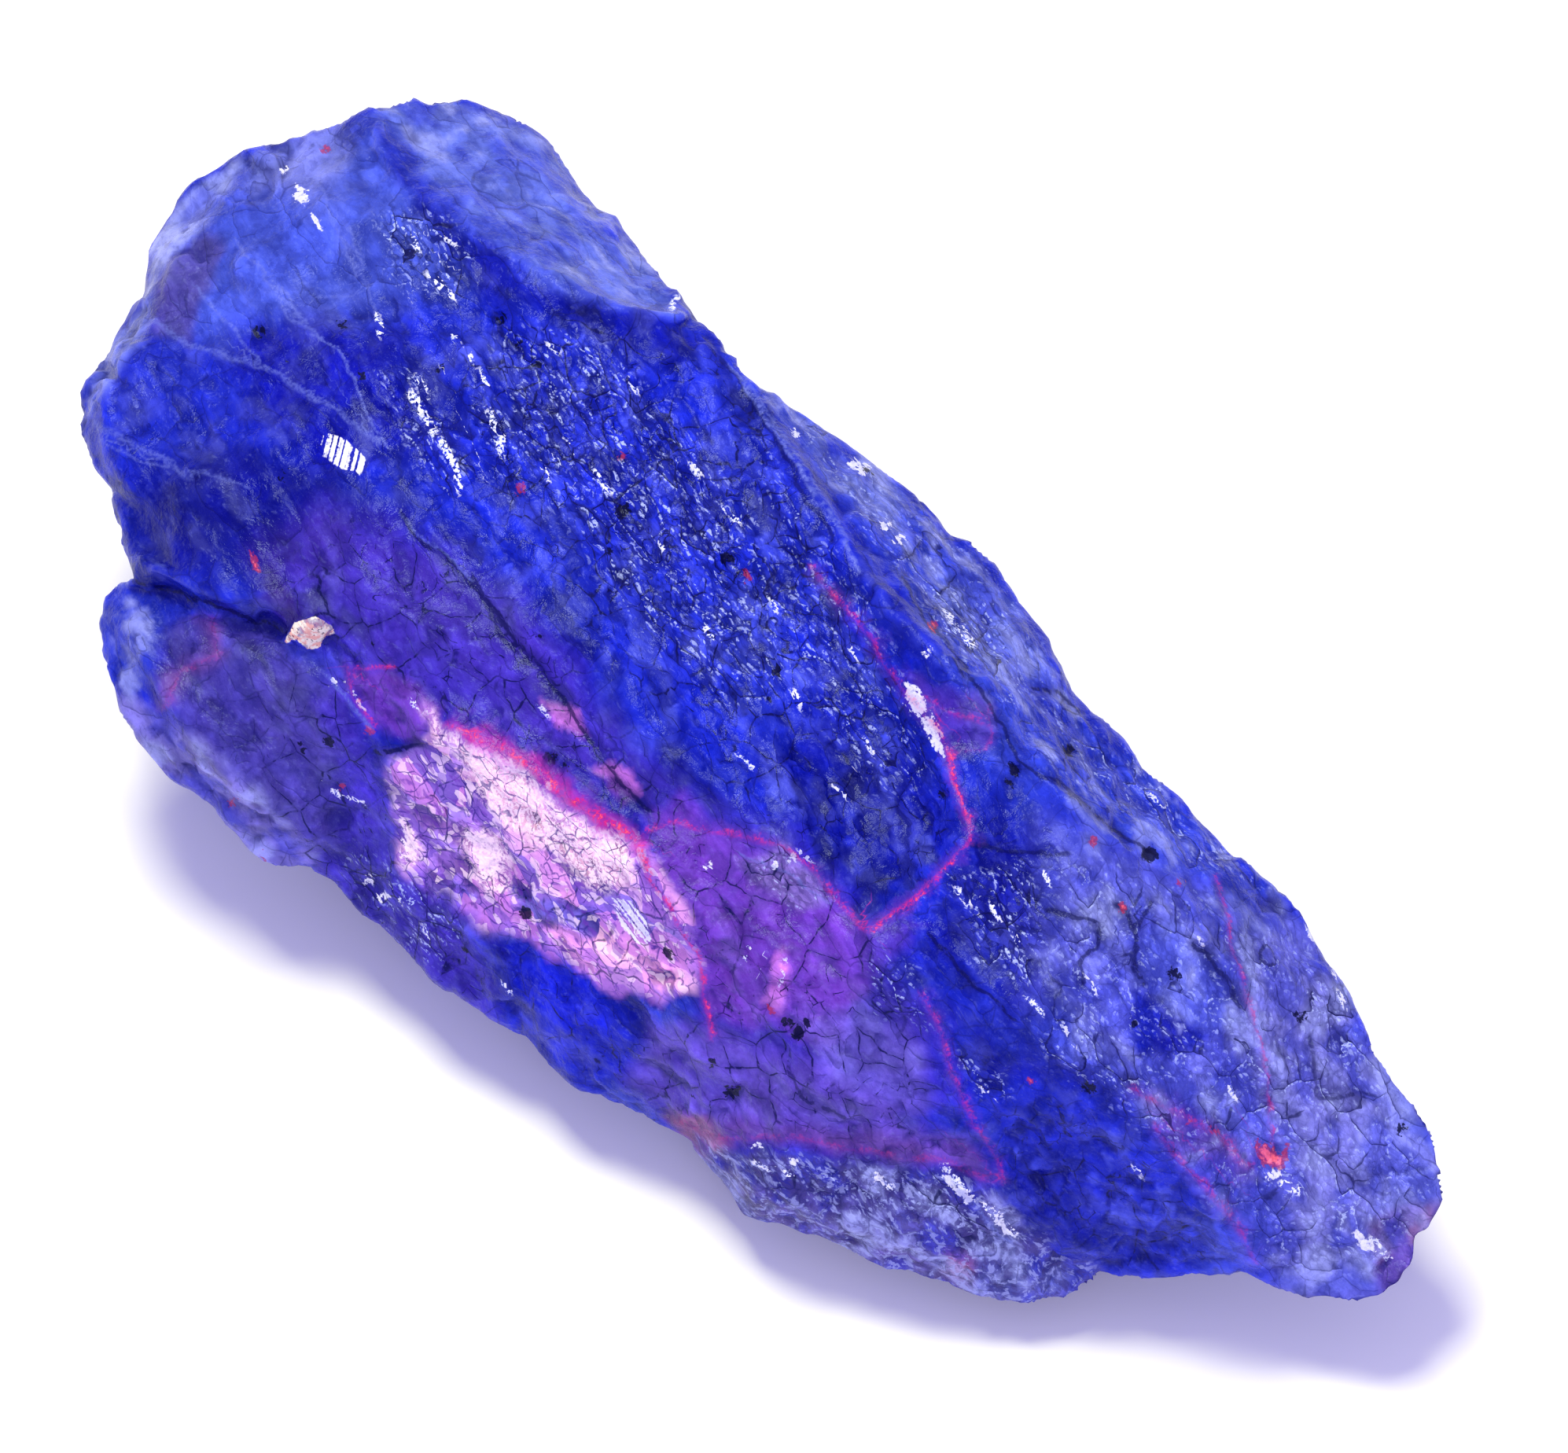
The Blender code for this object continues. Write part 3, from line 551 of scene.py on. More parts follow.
def away_from_line(pixels, line):
    """Signed distance to a line, the sign telling the side, and how far past its ends it is."""
    line = np.reshape(line, (-1, 2)).astype(float)
    best = np.full(len(pixels), 1e9)
    side = np.ones(len(pixels))
    past = np.zeros(len(pixels))
    for a, b in zip(line, line[1:]):
        d = b - a
        along = (pixels - a) @ d / (d @ d)
        part = np.clip(along, 0, 1)
        gap = pixels - a - part[:, None] * d
        distance = np.hypot(gap[:, 0], gap[:, 1])
        nearer = distance < best
        best = np.where(nearer, distance, best)
        side = np.where(nearer, np.sign(d[0] * gap[:, 1] - d[1] * gap[:, 0]), side)
        past = np.where(nearer, np.abs(along - part) * math.hypot(*d), past)
    return best * side, past


def depth_inside(pixels, outline):
    """Distance to an outline, positive inside it."""
    corners = np.reshape(outline + outline[:2], (-1, 2))
    distance = np.abs(away_from_line(pixels, corners)[0])
    within = np.zeros(len(pixels), bool)
    x, y = pixels.T
    for (ax, ay), (bx, by) in zip(corners, corners[1:]):
        crosses = (ay > y) != (by > y)
        height = by - ay if by != ay else 1
        within ^= crosses & (x < ax + (bx - ax) * (y - ay) / height)
    return np.where(within, distance, -distance)


def depth_in_mm(pixels, outline):
    """The same in millimetres, and no less than -1."""
    return np.maximum(depth_inside(pixels, outline) / PX_PER_MM, -1)


def depth_in_spots(pixels, spots):
    """How deep inside the nearest of several spots a point lies, in millimetres."""
    deepest = np.full(len(pixels), -1e9)
    for spot in spots:
        if len(spot) > 3:
            depth = depth_inside(pixels, spot)
        else:
            depth = spot[2] - np.hypot(*(pixels - spot[:2]).T)
        deepest = np.maximum(deepest, depth)
    return np.maximum(deepest / PX_PER_MM, -1)


def nearest_line(pixels, lines, reach):
    """Signed distance in pixels to the nearest of several lines, its strength and its half width."""
    best = np.full(len(pixels), 1e9)
    strength = np.zeros(len(pixels))
    width = np.ones(len(pixels))
    for line_strength, half_width, line in lines:
        distance, past = away_from_line(pixels, line)
        nearer = np.abs(distance) < np.abs(best)
        best = np.where(nearer, distance, best)
        strength = np.where(nearer, line_strength * rise(half_width + 4, 0, past), strength)
        width = np.where(nearer, half_width, width)
    return best, strength * rise(reach, reach * 0.6, np.abs(best)), width


def scattered_pits(p):
    """Small pits here and there: how deep inside one a point lies, in millimetres."""
    q = p * PITS_PER_MM
    base = np.floor(q).astype(np.int64)
    deepest = np.full(len(p), -1.0)
    for step in NEIGHBOURS:
        cell = base + step
        away = np.sqrt(((q - cell - hashed(cell, 15)) ** 2).sum(axis=1)) / PITS_PER_MM
        size = PIT_SIZE[0] + PIT_SIZE[1] * hashed(cell, 16)[:, 0]
        deepest = np.maximum(deepest, np.where(hashed(cell, 17)[:, 1] > NO_PIT, size - away, -1))
    return deepest


class Skin:
    """The mesh of the stone's surface as arrays, in millimetres."""

    def __init__(self, node):
        bm = bmesh.new()
        bm.from_mesh(node.data)
        bmesh.ops.remove_doubles(bm, verts=bm.verts, dist=1e-6)
        bmesh.ops.subdivide_edges(bm, edges=bm.edges, cuts=CUTS, use_grid_fill=True)
        bmesh.ops.triangulate(bm, faces=bm.faces)
        spare = (MOST_TRIANGLES - len(bm.faces)) // 2 - SPARE_EDGES
        long_edges = [e for e in bm.edges if e.calc_length() > LONG_EDGE * MM and e.verts[0].co.z > MM]
        long_edges.sort(key=lambda e: -e.calc_length())
        bmesh.ops.subdivide_edges(bm, edges=long_edges[:spare], cuts=1)
        bmesh.ops.triangulate(bm, faces=bm.faces)
        bmesh.ops.beautify_fill(bm, faces=bm.faces, edges=bm.edges)
        # a corner with two faces only is a pocket without depth
        pockets = [v for v in bm.verts if len(v.link_faces) == 2]
        bmesh.ops.delete(bm, geom=pockets, context="VERTS")
        self.mesh = bpy.data.meshes.new("sapphire_skin")
        bm.to_mesh(self.mesh)
        bm.free()
        count = len(self.mesh.vertices)
        flat = np.zeros(count * 3)
        self.mesh.vertices.foreach_get("co", flat)
        self.co = flat.reshape(-1, 3) / MM
        edges = np.zeros(len(self.mesh.edges) * 2, int)
        self.mesh.edges.foreach_get("vertices", edges)
        self.edges = edges.reshape(-1, 2)
        self.degree = np.bincount(edges, minlength=count)
        self.floor = rise(0.02, 1.0, self.co[:, 2])

    def spread(self, values):
        """Average over the neighbours."""
        a, b = self.edges.T
        total = np.zeros_like(values)
        for k in range(values.shape[1]):
            total[:, k] = (np.bincount(a, values[b, k], len(values))
                           + np.bincount(b, values[a, k], len(values)))
        return total / self.degree[:, None]

    def soften(self):
        """Rounds the facets of the solid away without shrinking it much."""
        for _ in range(SOFTENINGS):
            for strength in (SOFTENING, -SOFTENING * 1.03):
                self.co += (self.spread(self.co) - self.co) * strength * self.floor[:, None]

    def blur(self, values, rounds):
        wide = values.reshape(len(self.co), -1)
        for _ in range(rounds):
            wide = (wide + self.spread(wide)) / 2
        return wide.reshape(values.shape)

    def normals(self):
        self.store()
        flat = np.zeros(len(self.co) * 3)
        self.mesh.vertices.foreach_get("normal", flat)
        return flat.reshape(-1, 3)

    def push(self, amount):
        """Moves the surface along its normals, in millimetres, but not the flat spot."""
        self.co += self.normals() * (amount * self.floor)[:, None]

    def hollows(self, rounds):
        """How far the surface lies below the average around it, as a multiple of what is usual."""
        depth = ((self.blur(self.co, rounds) - self.co) * self.normals()).sum(axis=1)
        return depth / depth.std()

    def store(self):
        self.mesh.vertices.foreach_set("co", (self.co * MM).ravel())
        self.mesh.update()

    def attribute(self, name, *columns):
        """Stores three numbers, or the four of a colour, for each vertex."""
        kind, key = ("FLOAT_VECTOR", "vector") if len(columns) == 3 else ("FLOAT_COLOR", "color")
        layer = self.mesh.attributes.new(name, kind, "POINT")
        layer.data.foreach_set(key, np.stack(columns, axis=1).astype(np.float32).ravel())


def thickness(skin, normals):
    """How far it is through the stone from each vertex, in millimetres."""
    bm = bmesh.new()
    bm.from_mesh(skin.mesh)
    tree = BVHTree.FromBMesh(bm)
    bm.free()
    far = np.zeros(len(skin.co))
    for k, (place, normal) in enumerate(zip(skin.co * MM, normals)):
        inward = -Vector(normal)
        hit = tree.ray_cast(Vector(place) + inward * 0.05 * MM, inward)
        far[k] = hit[3] / MM if hit[0] else 20
    return far


def break_up(skin):
    """Gives the softened stone its swells, steps, chips and grain, and returns the tones of these."""
    p = along_grain(skin.co)
    long_p = p * (0.45, 1, 1)
    showing = rise(-0.05, 0.2, skin.normals() @ BACK)
    pixels = on_photo(skin.co)

    def within(name):
        _, _, softness, outline = AREAS[name]
        return rise(-softness, softness, depth_inside(pixels, outline)) * showing

    hackly = 0.45 + 0.3 * layered(p * 0.2 + 3, 2, 91)
    for name in HACKLY:
        hackly = np.maximum(hackly, within(name))
    for name in SMOOTH:
        hackly = hackly * (1 - 0.75 * within(name))
    hackly = np.clip(hackly, 0.08, 1)
    wander = several(p * 0.8, 2, (3, 4, 5)) * 0.25
    swell = layered(long_p * 0.5, 3, 5)
    plates, plate_tone = flakes(long_p * 0.7 + wander, 31, 26.0)
    chips, chip_tone = flakes(p * (0.8, 1.9, 1.9) + wander, 41, 20.0)
    grit, _ = flakes(p * (2.0, 3.6, 3.6) + wander, 51, 7.0)
    skin.push(swell * SWELL + OUTWARD + plates * (PLATE_STEP + HACKLY_PLATE_STEP * hackly)
              + (chips * CHIP + grit * GRIT) * hackly)

    def profile(place, lines, widen, base):
        """How near the nearest of the lines is, from 0 to 1."""
        distance, strength, width = nearest_line(place, lines, 40)
        return strength * np.exp(-(distance / (width * widen + base)) ** 2) * showing

    groove = profile(pixels + wander[:, :2] * 12, CRACKS, 1.6, 3)
    ridge = np.maximum(profile(pixels, VEILS, 0, 6), profile(pixels, DASHES, 0, 7))
    pits = rise(-0.15, 0.2, depth_in_spots(pixels, DARK_SPOTS)) * showing
    mineral = rise(-6, 6, depth_inside(pixels, GRAIN)) * showing
    skin.push(ridge * RIDGE + mineral * MINERAL - groove * GROOVE - pits * PIT)
    return (plate_tone - 0.5) * 0.5, (chip_tone - 0.5) * (0.25 + 0.75 * hackly)


def lay(tint, colour, amount):
    """A colour laid over the tint of each vertex, as strongly as the amount says."""
    return tint + (colour - tint) * amount[:, None]


def paint(skin, plate_tone, chip_tone):
    """Stores the colour of the stone at each vertex, and what the material needs besides."""
    normals = skin.normals()
    p = along_grain(skin.co)
    exact = on_photo(skin.co)
    wander = several(p * 0.6, 3, (61, 62))
    showing = rise(-0.3, 0.0, normals @ BACK)
    showing = np.maximum(showing, rise(*TIP_MM, skin.co[:, 0]))
    hidden = 1 - showing

    def within(softness, outline):
        return rise(-softness, softness, depth_inside(exact + wander * AREA_WANDER, outline)) * showing

    # blues and violets all round, then the named areas
    royal = rise(-0.55, 0.55, layered(p * (0.16, 0.28, 0.28), 4, 71))
    azure = rise(0.1, 0.7, layered(p * (0.09, 0.2, 0.2) + 5, 3, 72)) * 0.75
    violet = rise(0.25, 0.8, layered(p * (0.07, 0.13, 0.13) + 9, 3, 73)) * hidden * 0.8
    tint = lay(lay(lay(DEEP, ROYAL, royal), AZURE, azure), VIOLET, violet)
    masks = {}
    for name, (colour, strength, softness, outline) in AREAS.items():
        masks[name] = within(softness, outline)
        tint = lay(tint, colour, masks[name] * strength)
    # painted light: where the stone is thin it is made paler lavender, as if light shone through it
    lit_through_thin = rise(4.5, 0.6, skin.blur(thickness(skin, normals), 4))
    tint = lay(tint, LAVENDER, lit_through_thin * 0.45 * (1 - masks["glow"]))

    # where it is scaly and where it is cracked
    scaly = rise(0.15, 0.9, layered(p * (0.12, 0.25, 0.25) + 2, 3, 74)) * hidden * 0.8 + 0.05
    for strength, softness, outline in GLINTS:
        scaly = np.maximum(scaly, within(softness, outline) * strength)
    cracked = 0.4 + 0.4 * rise(-0.2, 0.5, layered(p * 0.15, 2, 75)) * hidden
    for name in CRACKED:
        cracked = np.maximum(cracked, masks[name])
    for name in SMOOTH:
        cracked = cracked * (1 - 0.7 * masks[name])

    # mottles, tones of the flakes, and clouds
    mottle = layered(p * (0.6, 1.1, 1.1) + 40, 3, 77) * 0.25
    tint = tint * np.clip(1 + mottle + plate_tone * 0.8 + chip_tone * 0.9, 0.35, 1.7)[:, None]
    tint = lay(tint, LAVENDER, rise(0.25, 0.5, chip_tone) * 0.25)
    haze = layered(p * (0.4, 0.75, 0.75) + 50, 4, 78) - 0.1
    cloudy = 0.12 + 0.5 * rise(-0.3, 0.6, layered(p * 0.1, 2, 79)) * hidden
    for name in CLOUDY:
        cloudy = np.maximum(cloudy, masks[name])
    tint = lay(tint, PALE, cloudy * rise(0.05, 0.4, haze) * 0.5)
    tint = lay(tint, ROYAL, cloudy * rise(-0.1, -0.4, haze) * 0.5)

    heart = np.max([masks["glow_heart"], masks["glow_mid"] * 0.7, masks["glow_leaf"] * 0.7], axis=0)
    patch = layered(p * 0.45 + 20, 3, 76)
    skin.attribute("tint", *tint.T, np.ones(len(p)))
    skin.attribute("look", scaly, cracked, patch)
    skin.attribute("zones", masks["glow"], heart, masks["ledge"])
    # how far each vertex lies in a hollow, at two sizes, for the painted shade in hollows and the painted
    # highlight on ridges
    skin.attribute("relief", skin.hollows(3), skin.hollows(20), np.zeros(len(p)))
    skin.attribute("bend", *(several(p * 0.9 + 30, 3, (81, 82, 83)) * 0.16).T)

    # spots, stripes, the mineral grain and lines, by their distance in millimetres
    spots = [np.where(showing > 0.5, depth_in_spots(exact + wander * SPOT_WANDER, kind), -1)
             for kind in (PALE_FLECKS_AND_GLINTS, RED_SPOTS, DARK_SPOTS)]
    # near-black spots in scattered pits here and there
    scattered_dark = (scattered_pits(p) + 1) * rise(-0.3, 0.2, patch) - 1
    skin.attribute("spots", *spots[:2], np.maximum(spots[2], scattered_dark))
    striped, across = np.full(len(p), -1.0), np.zeros(len(p))
    for outline, way in STRIPED:
        depth = depth_in_mm(exact, outline)
        across = np.where(depth > striped, exact @ way / math.hypot(*way) / PX_PER_MM, across)
        striped = np.maximum(striped, depth)
    marks = [np.where(showing > 0.5, depth, -1) for depth in (striped, depth_in_mm(exact, GRAIN))]
    skin.attribute("marks", *marks, across)
    for name, lines in (("vein", VEINS), ("crack", CRACKS), ("veil", VEILS), ("dash", DASHES)):
        distance, strength, width = nearest_line(exact + wander * LINE_WANDER[name], lines, REACH)
        skin.attribute(name, distance / PX_PER_MM, strength * showing, width / PX_PER_MM)


class Nodes:
    """Short ways to write a node tree, and a colour that is built up in layers."""

    def __init__(self, tree):
        self.tree = tree
        self.colour = None

    def add(self, kind, **settings):
        node = self.tree.nodes.new(kind)
        for key, value in settings.items():
            setattr(node, key, value)
        return node

    def link(self, value, socket):
        if isinstance(value, bpy.types.NodeSocket):
            self.tree.links.new(value, socket)
        elif value is not None:
            socket.default_value = value

    def math(self, operation, a, b=None):
        node = self.add("ShaderNodeMath", operation=operation)
        self.link(a, node.inputs[0])
        self.link(b, node.inputs[1])
        return node.outputs[0]

    def chain(self, operation, values):
        result = values[0]
        for value in values[1:]:
            result = self.math(operation, result, value)
        return result

    def times(self, *values):
        return self.chain("MULTIPLY", values)

    def plus(self, *values):
        return self.chain("ADD", values)

    def most(self, *values):
        return self.chain("MAXIMUM", values)

    def swing(self, value, amount):
        """A value from 0 to 1 as a swing to both sides of 0."""
        return self.times(self.math("SUBTRACT", value, 0.5), amount)

    def vector(self, operation, a, b=None):
        node = self.add("ShaderNodeVectorMath", operation=operation)
        self.link(a, node.inputs[0])
        self.link(b, node.inputs["Scale" if operation == "SCALE" else 1])
        return node.outputs["Value" if operation == "DOT_PRODUCT" else "Vector"]

    def parts(self, value):
        node = self.add("ShaderNodeSeparateXYZ")
        self.link(value, node.inputs[0])
        return node.outputs

    def ramp(self, value, low, high, to_low=0.0, to_high=1.0):
        node = self.add("ShaderNodeMapRange", interpolation_type="SMOOTHSTEP")
        for key, setting in zip(("Value", "From Min", "From Max", "To Min", "To Max"),
                                (value, low, high, to_low, to_high)):
            self.link(setting, node.inputs[key])
        return node.outputs["Result"]

    def mix(self, factor, a, b):
        node = self.add("ShaderNodeMix", data_type="RGBA")
        self.link(factor, node.inputs[0])
        self.link(rgba(a), node.inputs[6])
        self.link(rgba(b), node.inputs[7])
        return node.outputs[2]

    def cover(self, top, *amounts):
        """Lays another colour over what is there, by the product of the amounts."""
        self.colour = self.mix(self.times(*amounts), self.colour, top)

    def noise(self, coordinates, scale, detail, rough=0.55, output="Fac"):
        node = self.add("ShaderNodeTexNoise")
        self.link(coordinates, node.inputs["Vector"])
        node.inputs["Scale"].default_value = scale
        node.inputs["Detail"].default_value = detail
        node.inputs["Roughness"].default_value = rough
        return node.outputs[output]

    def cells(self, coordinates, feature="F1"):
        node = self.add("ShaderNodeTexVoronoi", feature=feature)
        self.link(coordinates, node.inputs["Vector"])
        node.inputs["Scale"].default_value = 1.0
        return node.outputs

    def attribute(self, name, output="Vector"):
        return self.add("ShaderNodeAttribute", attribute_name=name).outputs[output]

    def three(self, name):
        """The three numbers of an attribute."""
        return self.parts(self.attribute(name))


def rgba(colour):
    return (*colour, 1.0) if isinstance(colour, np.ndarray) else colour


def sapphire_material():
    material = bpy.data.materials.new("rough_sapphire_skin")
    material.use_nodes = True
    tree = material.node_tree
    n = Nodes(tree)
    shader = tree.nodes["Principled BSDF"]

    turn = n.add("ShaderNodeMapping")
    n.link(n.add("ShaderNodeTexCoord").outputs["Object"], turn.inputs["Vector"])
    turn.inputs["Scale"].default_value = (1 / MM,) * 3
    turn.inputs["Rotation"].default_value = (0, 0, GRAIN_TURN)
    place = turn.outputs["Vector"]
    bent = n.vector("ADD", place, n.attribute("bend"))
    shake = n.vector("SUBTRACT", n.noise(bent, 4.0, 1.0, 0.5, "Color"), (0.5, 0.5, 0.5))
    warped = n.vector("ADD", bent, n.vector("SCALE", shake, 0.07))
    scaly, cracked, patch = n.three("look")
    glow, heart, ledge = n.three("zones")
    fine_shade_and_highlight, broad_shade, _ = n.three("relief")
    blots = n.noise(place, 1.5, 4.0, 0.6)
    streaks = n.noise(n.vector("MULTIPLY", warped, (0.5, 2.4, 2.4)), 1.8, 3.0)
    shape = n.noise(place, 8.0, 2.0)

    def chips(source, size, stretch):
        """Flakes of a size: their net, random numbers, which edge is near, tilt and distance."""
        net = n.vector("MULTIPLY", source, (stretch / size, 1 / size, 1 / size))
        cells = n.cells(net)
        offset = n.vector("SUBTRACT", net, cells["Position"])
        lit = n.vector("DOT_PRODUCT", offset, LIT_SIDE)
        lean = n.vector("SUBTRACT", cells["Color"], (0.5, 0.5, 0.5))
        return net, n.parts(cells["Color"]), lit, n.vector("DOT_PRODUCT", offset, lean), cells["Distance"]

    def border(net, size, width):
        """Distance to the border of the cells of a net, in times of a width that wanders."""
        edge = n.times(n.cells(net, "DISTANCE_TO_EDGE")["Distance"], size)
        return n.math("DIVIDE", edge, n.times(n.ramp(blots, 0.3, 0.7, 0.5, 1.6), width))

    def crack_net(size, stretch, width):
        return border(n.vector("MULTIPLY", bent, (stretch / size, 1 / size, 1 / size)), size, width)

    plate_net, plate, plate_lit, _, _ = chips(warped, PLATE, PLATE_STRETCH)
    _, scale, scale_lit, scale_tilt, scale_out = chips(bent, SCALE, SCALE_STRETCH)

    # body of the stone: clouds, plates of different tones and streaks; painted shade in hollows and a
    # painted highlight on ridges
    n.colour = n.attribute("tint", "Color")
    lighter = n.mix(0.1, n.vector("SCALE", n.colour, 1.45), LAVENDER)
    darker = n.mix(0.6, n.colour, DEEP * 0.5)
    rough_zone = n.ramp(scaly, 0.0, 0.7, 0.4, 1.0)
    n.cover(lighter, n.ramp(blots, 0.53, 0.59), 0.4)
    n.cover(darker, n.ramp(blots, 0.47, 0.41), 0.42)
    n.cover(lighter, n.ramp(plate[0], 0.55, 0.9), rough_zone, 0.6)
    n.cover(darker, n.ramp(plate[1], 0.55, 0.9), rough_zone, 0.7)
    n.cover(lighter, n.ramp(streaks, 0.54, 0.6), rough_zone, 0.45)
    n.cover(darker, n.ramp(streaks, 0.46, 0.4), rough_zone, 0.55)
    # painted shade: darker in hollows, at a fine and a broad size; painted highlight: lighter on small
    # ridges
    n.cover(darker, n.ramp(fine_shade_and_highlight, 0.2, 2.2, 0.0, 0.75))
    n.cover(lighter, n.ramp(fine_shade_and_highlight, -0.2, -2.2, 0.0, 0.6))
    n.cover(darker, n.ramp(broad_shade, 0.3, 2.5, 0.0, 0.5))

    # scales: dark gaps between them, and some that glint along their upper edge
    cluster = n.ramp(n.plus(n.times(streaks, 0.7), n.times(blots, 0.5)), 0.5, 0.62)
    scaled = n.times(scaly, n.ramp(cluster, 0.0, 1.0, 0.35, 1.0))
    n.cover(n.mix(0.6, darker, INK * 0.5), n.ramp(scale_out, 0.42, 0.62), scaled, 0.85)
    n.cover(lighter, n.ramp(scale[2], 0.45, 0.75), scaled, 0.75)
    scale_edge = n.times(n.ramp(scale_lit, 0.0, 0.12), n.ramp(scale_out, 0.62, 0.48),
                         n.ramp(scale[0], 0.3, 0.42), cluster, scaly, n.ramp(shape, 0.44, 0.52))

    # pale and smoky streaks of the ledge
    n.cover(PALE, n.ramp(streaks, 0.52, 0.6), ledge, 0.55)
    n.cover(SMOKE * 0.8, n.ramp(streaks, 0.46, 0.38), ledge, 0.5)

    # edges of plates: a shadow on one side and a glint on the other
    across = border(plate_net, PLATE, PLATE_GAP)
    shaded = n.ramp(plate[2], 0.3, 0.5)
    plate_shade = n.times(n.ramp(across, 1.0, 0.3), n.ramp(plate_lit, 0.02, -0.12), shaded)
    plate_haze = n.times(n.ramp(across, 5.0, 0.0), n.ramp(plate_lit, 0.02, -0.2), shaded)
    plate_edge = n.times(n.ramp(across, 1.6, 0.6), n.ramp(plate_lit, 0.1, 0.25), n.ramp(plate[0], 0.5, 0.6),
                         n.ramp(shape, 0.5, 0.56), n.ramp(scaly, 0.1, 0.5), 0.8)
    n.cover(GLINT, n.most(plate_edge, scale_edge), n.ramp(scale[1], 0.15, 0.75, 0.4, 0.95))

    def named_line(name, wander, shake=None):
        """Distance to a line named above, in half widths, and its strength."""
        distance, strength, width = n.three(name)
        shifts = [n.swing(blots, wander)] + ([n.swing(shape, shake)] if shake else [])
        return n.math("DIVIDE", n.math("ABSOLUTE", n.plus(distance, *shifts)), width), strength

    # cracks, and the painted shadow along the edges of plates, which are weaker where the stone glows
    coarse = crack_net(*CRACK_NET)
    fine = n.ramp(crack_net(*FINE_NET), 1.0, 0.3)
    seen = n.times(n.ramp(patch, -0.3, 0.05), cracked, n.ramp(streaks, 0.4, 0.52, 0.3, 1.0))
    coarse_line = n.times(n.ramp(coarse, 1.0, 0.3), seen)
    coarse_haze = n.times(n.ramp(coarse, 8.0, 0.0), seen, 0.7)
    fine_line = n.times(fine, n.ramp(patch, 0.1, -0.3), n.ramp(blots, 0.52, 0.44), cracked)
    far, strength = named_line("crack", 0.4)
    named = n.times(n.ramp(far, 1.4, 0.5), strength, n.ramp(streaks, 0.38, 0.46))
    lines = n.most(coarse_line, fine_line, n.times(plate_shade, rough_zone), named)
    hazes = n.most(coarse_haze, n.times(plate_haze, rough_zone), n.times(n.ramp(far, 6.0, 0.0), strength))
    keep = n.math("SUBTRACT", 1.0, n.times(glow, 0.8))
    n.cover(INK, hazes, keep, 0.4)
    n.cover(INK * 0.6, lines, keep, 0.9)

    # plates and crackle of the glowing facet
    outer = n.ramp(heart, 0.0, 0.8, 1.0, 0.4)
    n.cover(PINK, n.ramp(plate[0], 0.6, 0.64), glow, 0.5)
    n.cover(ORCHID, n.ramp(plate[1], 0.62, 0.66), glow, outer, 0.55)
    n.cover(IRIS, n.ramp(plate[2], 0.74, 0.8), glow, outer, 0.55)
    n.cover(WARM, n.ramp(scale[2], 0.8, 0.86), glow, 0.5)
    n.cover(WARM, n.ramp(shape, 0.46, 0.52), heart, 0.8)
    n.cover(PURPLE, n.ramp(streaks, 0.44, 0.36), glow, outer, 0.6)
    n.cover(VIOLET * 0.6, fine, n.ramp(blots, 0.6, 0.5), glow, 0.75)
    n.cover(INK, coarse_line, glow, 0.75)

    # pale spots, partly pale flecks and partly painted glints; red and dark spots
    pale_fleck_and_glint, red_spot, dark_spot = n.three("spots")
    ragged = n.plus(n.swing(shape, 0.35), n.swing(streaks, 0.7))
    pale_fleck_and_glint, red_spot, dark_spot = (n.plus(spot, ragged) for spot in (pale_fleck_and_glint, red_spot, dark_spot))
    n.cover(n.mix(0.15, n.mix(glow, WHITE, WARM), n.colour), n.ramp(pale_fleck_and_glint, -0.02, 0.05),
            n.ramp(shape, 0.35, 0.5, 0.5, 0.9))
    n.cover(n.mix(n.ramp(red_spot, 0.1, 0.25), RED, CORAL), n.ramp(red_spot, -0.02, 0.06), 0.75)
    n.cover(INK * 0.2, n.ramp(dark_spot, 0.0, 0.05), 0.93)

    # stripes, and the mineral grain
    striped, mineral, over = n.three("marks")
    stripe = n.add("ShaderNodeTexNoise", noise_dimensions="1D")
    n.link(over, stripe.inputs["W"])
    stripe.inputs["Scale"].default_value = 5.0
    stripe.inputs["Detail"].default_value = 2.0
    band = n.ramp(n.plus(stripe.outputs["Fac"], n.swing(shape, 0.3)), 0.42, 0.5)
    n.cover(WHITE, n.ramp(n.plus(striped, n.times(ragged, 0.3)), -0.01, 0.04), band, 0.9)
    chalky = n.mix(n.ramp(streaks, 0.44, 0.56), PEACH, CHALK)
    chalky = n.mix(n.ramp(shape, 0.42, 0.34, 0.0, 0.9), chalky, UMBER)
    chalky = n.mix(n.ramp(blots, 0.5, 0.42, 0.0, 0.6), chalky, SLATE)
    n.cover(chalky, n.ramp(n.plus(mineral, n.times(ragged, 0.2)), -0.01, 0.03))

    # pale veils, bright dashes and red veins
    far, strength = named_line("veil", 0.3, 0.1)
    n.cover(LAVENDER, n.ramp(far, 1.2, 0.1), strength, n.ramp(shape, 0.35, 0.6, 0.3, 1.0))
    far, strength = named_line("dash", 0.1, 0.3)
    n.cover(n.mix(n.ramp(shape, 0.46, 0.56), GLINT, WHITE), n.ramp(far, 1.7, 1.2), strength,
            n.ramp(scale[1], 0.36, 0.42), n.ramp(shape, 0.42, 0.5))
    far, strength = named_line("vein", 0.45, 0.3)
    far = n.math("DIVIDE", far, n.ramp(blots, 0.3, 0.7, 0.6, 1.8))
    fade = n.times(strength, n.ramp(blots, 0.42, 0.56, 0.3, 1.0))
    n.cover(PURPLE, n.ramp(far, 5.0, 0.0), strength, 0.6)
    n.cover(MAGENTA, n.ramp(far, 1.7, 0.1), fade, n.ramp(shape, 0.4, 0.56, 0.25, 0.95))
    n.cover(CORAL, n.ramp(far, 0.6, 0.1), fade, fade, n.ramp(shape, 0.52, 0.62), 0.7)
    n.link(n.colour, shader.inputs["Base Color"])

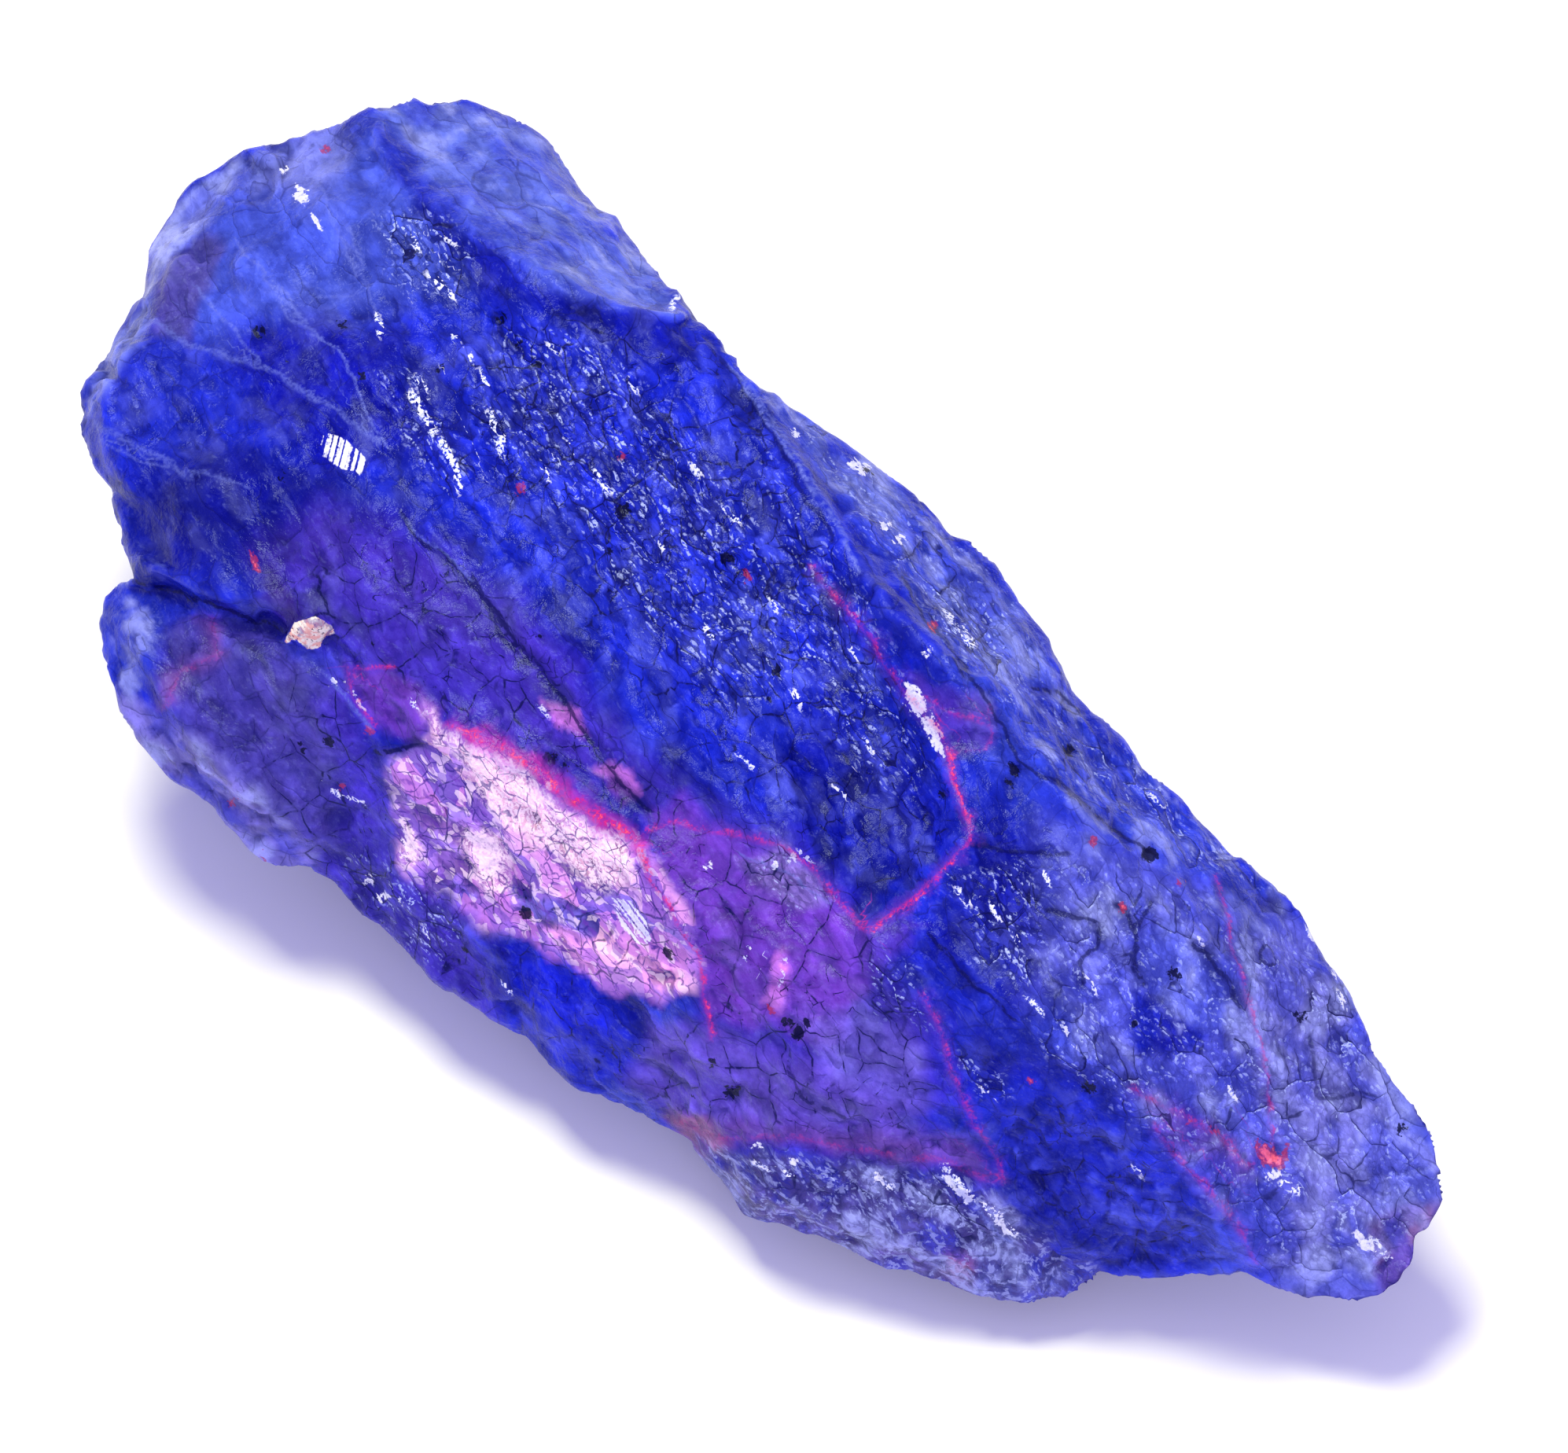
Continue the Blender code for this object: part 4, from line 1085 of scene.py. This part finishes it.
    # surface: tilted scales and a fine grit, in millimetres
    bump = n.add("ShaderNodeBump")
    bump.inputs["Strength"].default_value = 1.0
    bump.inputs["Distance"].default_value = MM
    n.link(n.plus(n.times(scale_tilt, scaly, SCALE * 0.7), n.times(n.noise(place, 4.0, 3.0, 0.6), 0.06)),
           bump.inputs["Height"])
    n.link(bump.outputs["Normal"], shader.inputs["Normal"])
    n.link(n.ramp(blots, 0.3, 0.7, *ROUGHNESS), shader.inputs["Roughness"])
    shader.inputs["IOR"].default_value = REFRACTION
    shader.inputs["Specular IOR Level"].default_value = SPECULAR
    shader.inputs["Specular Tint"].default_value = SPECULAR_TINT
    return material


def put(name, data, direction=None, place=(0, 0, 0)):
    """Adds an object to the scene, looking against the direction given."""
    thing = bpy.data.objects.new(name, data)
    thing.location = place
    if direction is not None:
        thing.rotation_mode = "QUATERNION"
        thing.rotation_quaternion = Vector(direction).to_track_quat("Z", "Y")
    bpy.context.scene.collection.objects.link(thing)
    return thing


def make_stone():
    skin = Skin(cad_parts[NODE])
    skin.soften()
    tones = break_up(skin)
    low, high = (np.array(corner) / MM for corner in CAD_BOX)
    skin.co = np.clip(skin.co, low, high)
    paint(skin, *tones)
    skin.store()
    skin.mesh.shade_smooth()
    stone = put("sapphire_skin", skin.mesh)
    stone.data.materials.append(sapphire_material())
    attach(stone, "root")
    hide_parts(NODE)
    print("skin", len(skin.mesh.vertices), "vertices", len(skin.mesh.polygons), "faces")


def make_camera():
    """A long lens from where the photograph was taken."""
    distance = PHOTO_SIZE_PX[0] / PX_PER_MM * LENS_MM / SENSOR_MM
    off_right = (PHOTO_SIZE_PX[0] / 2 - ORIGIN_PX[0] + AIM_RIGHT_PX) / PX_PER_MM
    off_up = (ORIGIN_PX[1] - PHOTO_SIZE_PX[1] / 2) / PX_PER_MM
    target = RIGHT * off_right + UP * off_up + BACK * AIM_HEIGHT_MM
    lens = bpy.data.cameras.new("camera")
    lens.lens = LENS_MM
    lens.sensor_width = SENSOR_MM
    lens.clip_start, lens.clip_end = CLIP
    bpy.context.scene.camera = put("camera", lens, BACK, (target + BACK * distance) * MM)


def make_floor():
    bm = bmesh.new()
    bmesh.ops.create_grid(bm, x_segments=1, y_segments=1, size=PAPER_HALF_SIZE)
    mesh = bpy.data.meshes.new("floor")
    bm.to_mesh(mesh)
    bm.free()
    material = bpy.data.materials.new("white_paper")
    material.use_nodes = True
    shader = material.node_tree.nodes["Principled BSDF"]
    shader.inputs["Base Color"].default_value = PAPER_COLOUR
    shader.inputs["Roughness"].default_value = PAPER_ROUGHNESS
    mesh.materials.append(material)
    floor = put("floor", mesh)


def make_light():
    world = bpy.data.worlds.new("studio")
    world.use_nodes = True
    background = world.node_tree.nodes["Background"]
    background.inputs["Color"].default_value = SKY_COLOUR
    background.inputs["Strength"].default_value = SKY_STRENGTH
    bpy.context.scene.world = world
    for name, (parts, distance, size, power, colour) in LAMPS.items():
        lamp = bpy.data.lights.new(name, "AREA")
        lamp.energy, lamp.size, lamp.color = power, size, colour
        direction = Vector(np.array(parts) @ (RIGHT, UP, BACK))
        put(name, lamp, direction, direction.normalized() * distance).visible_camera = False
    bpy.context.scene.view_settings.view_transform = "Standard"


make_camera()
make_floor()
make_light()
make_stone()
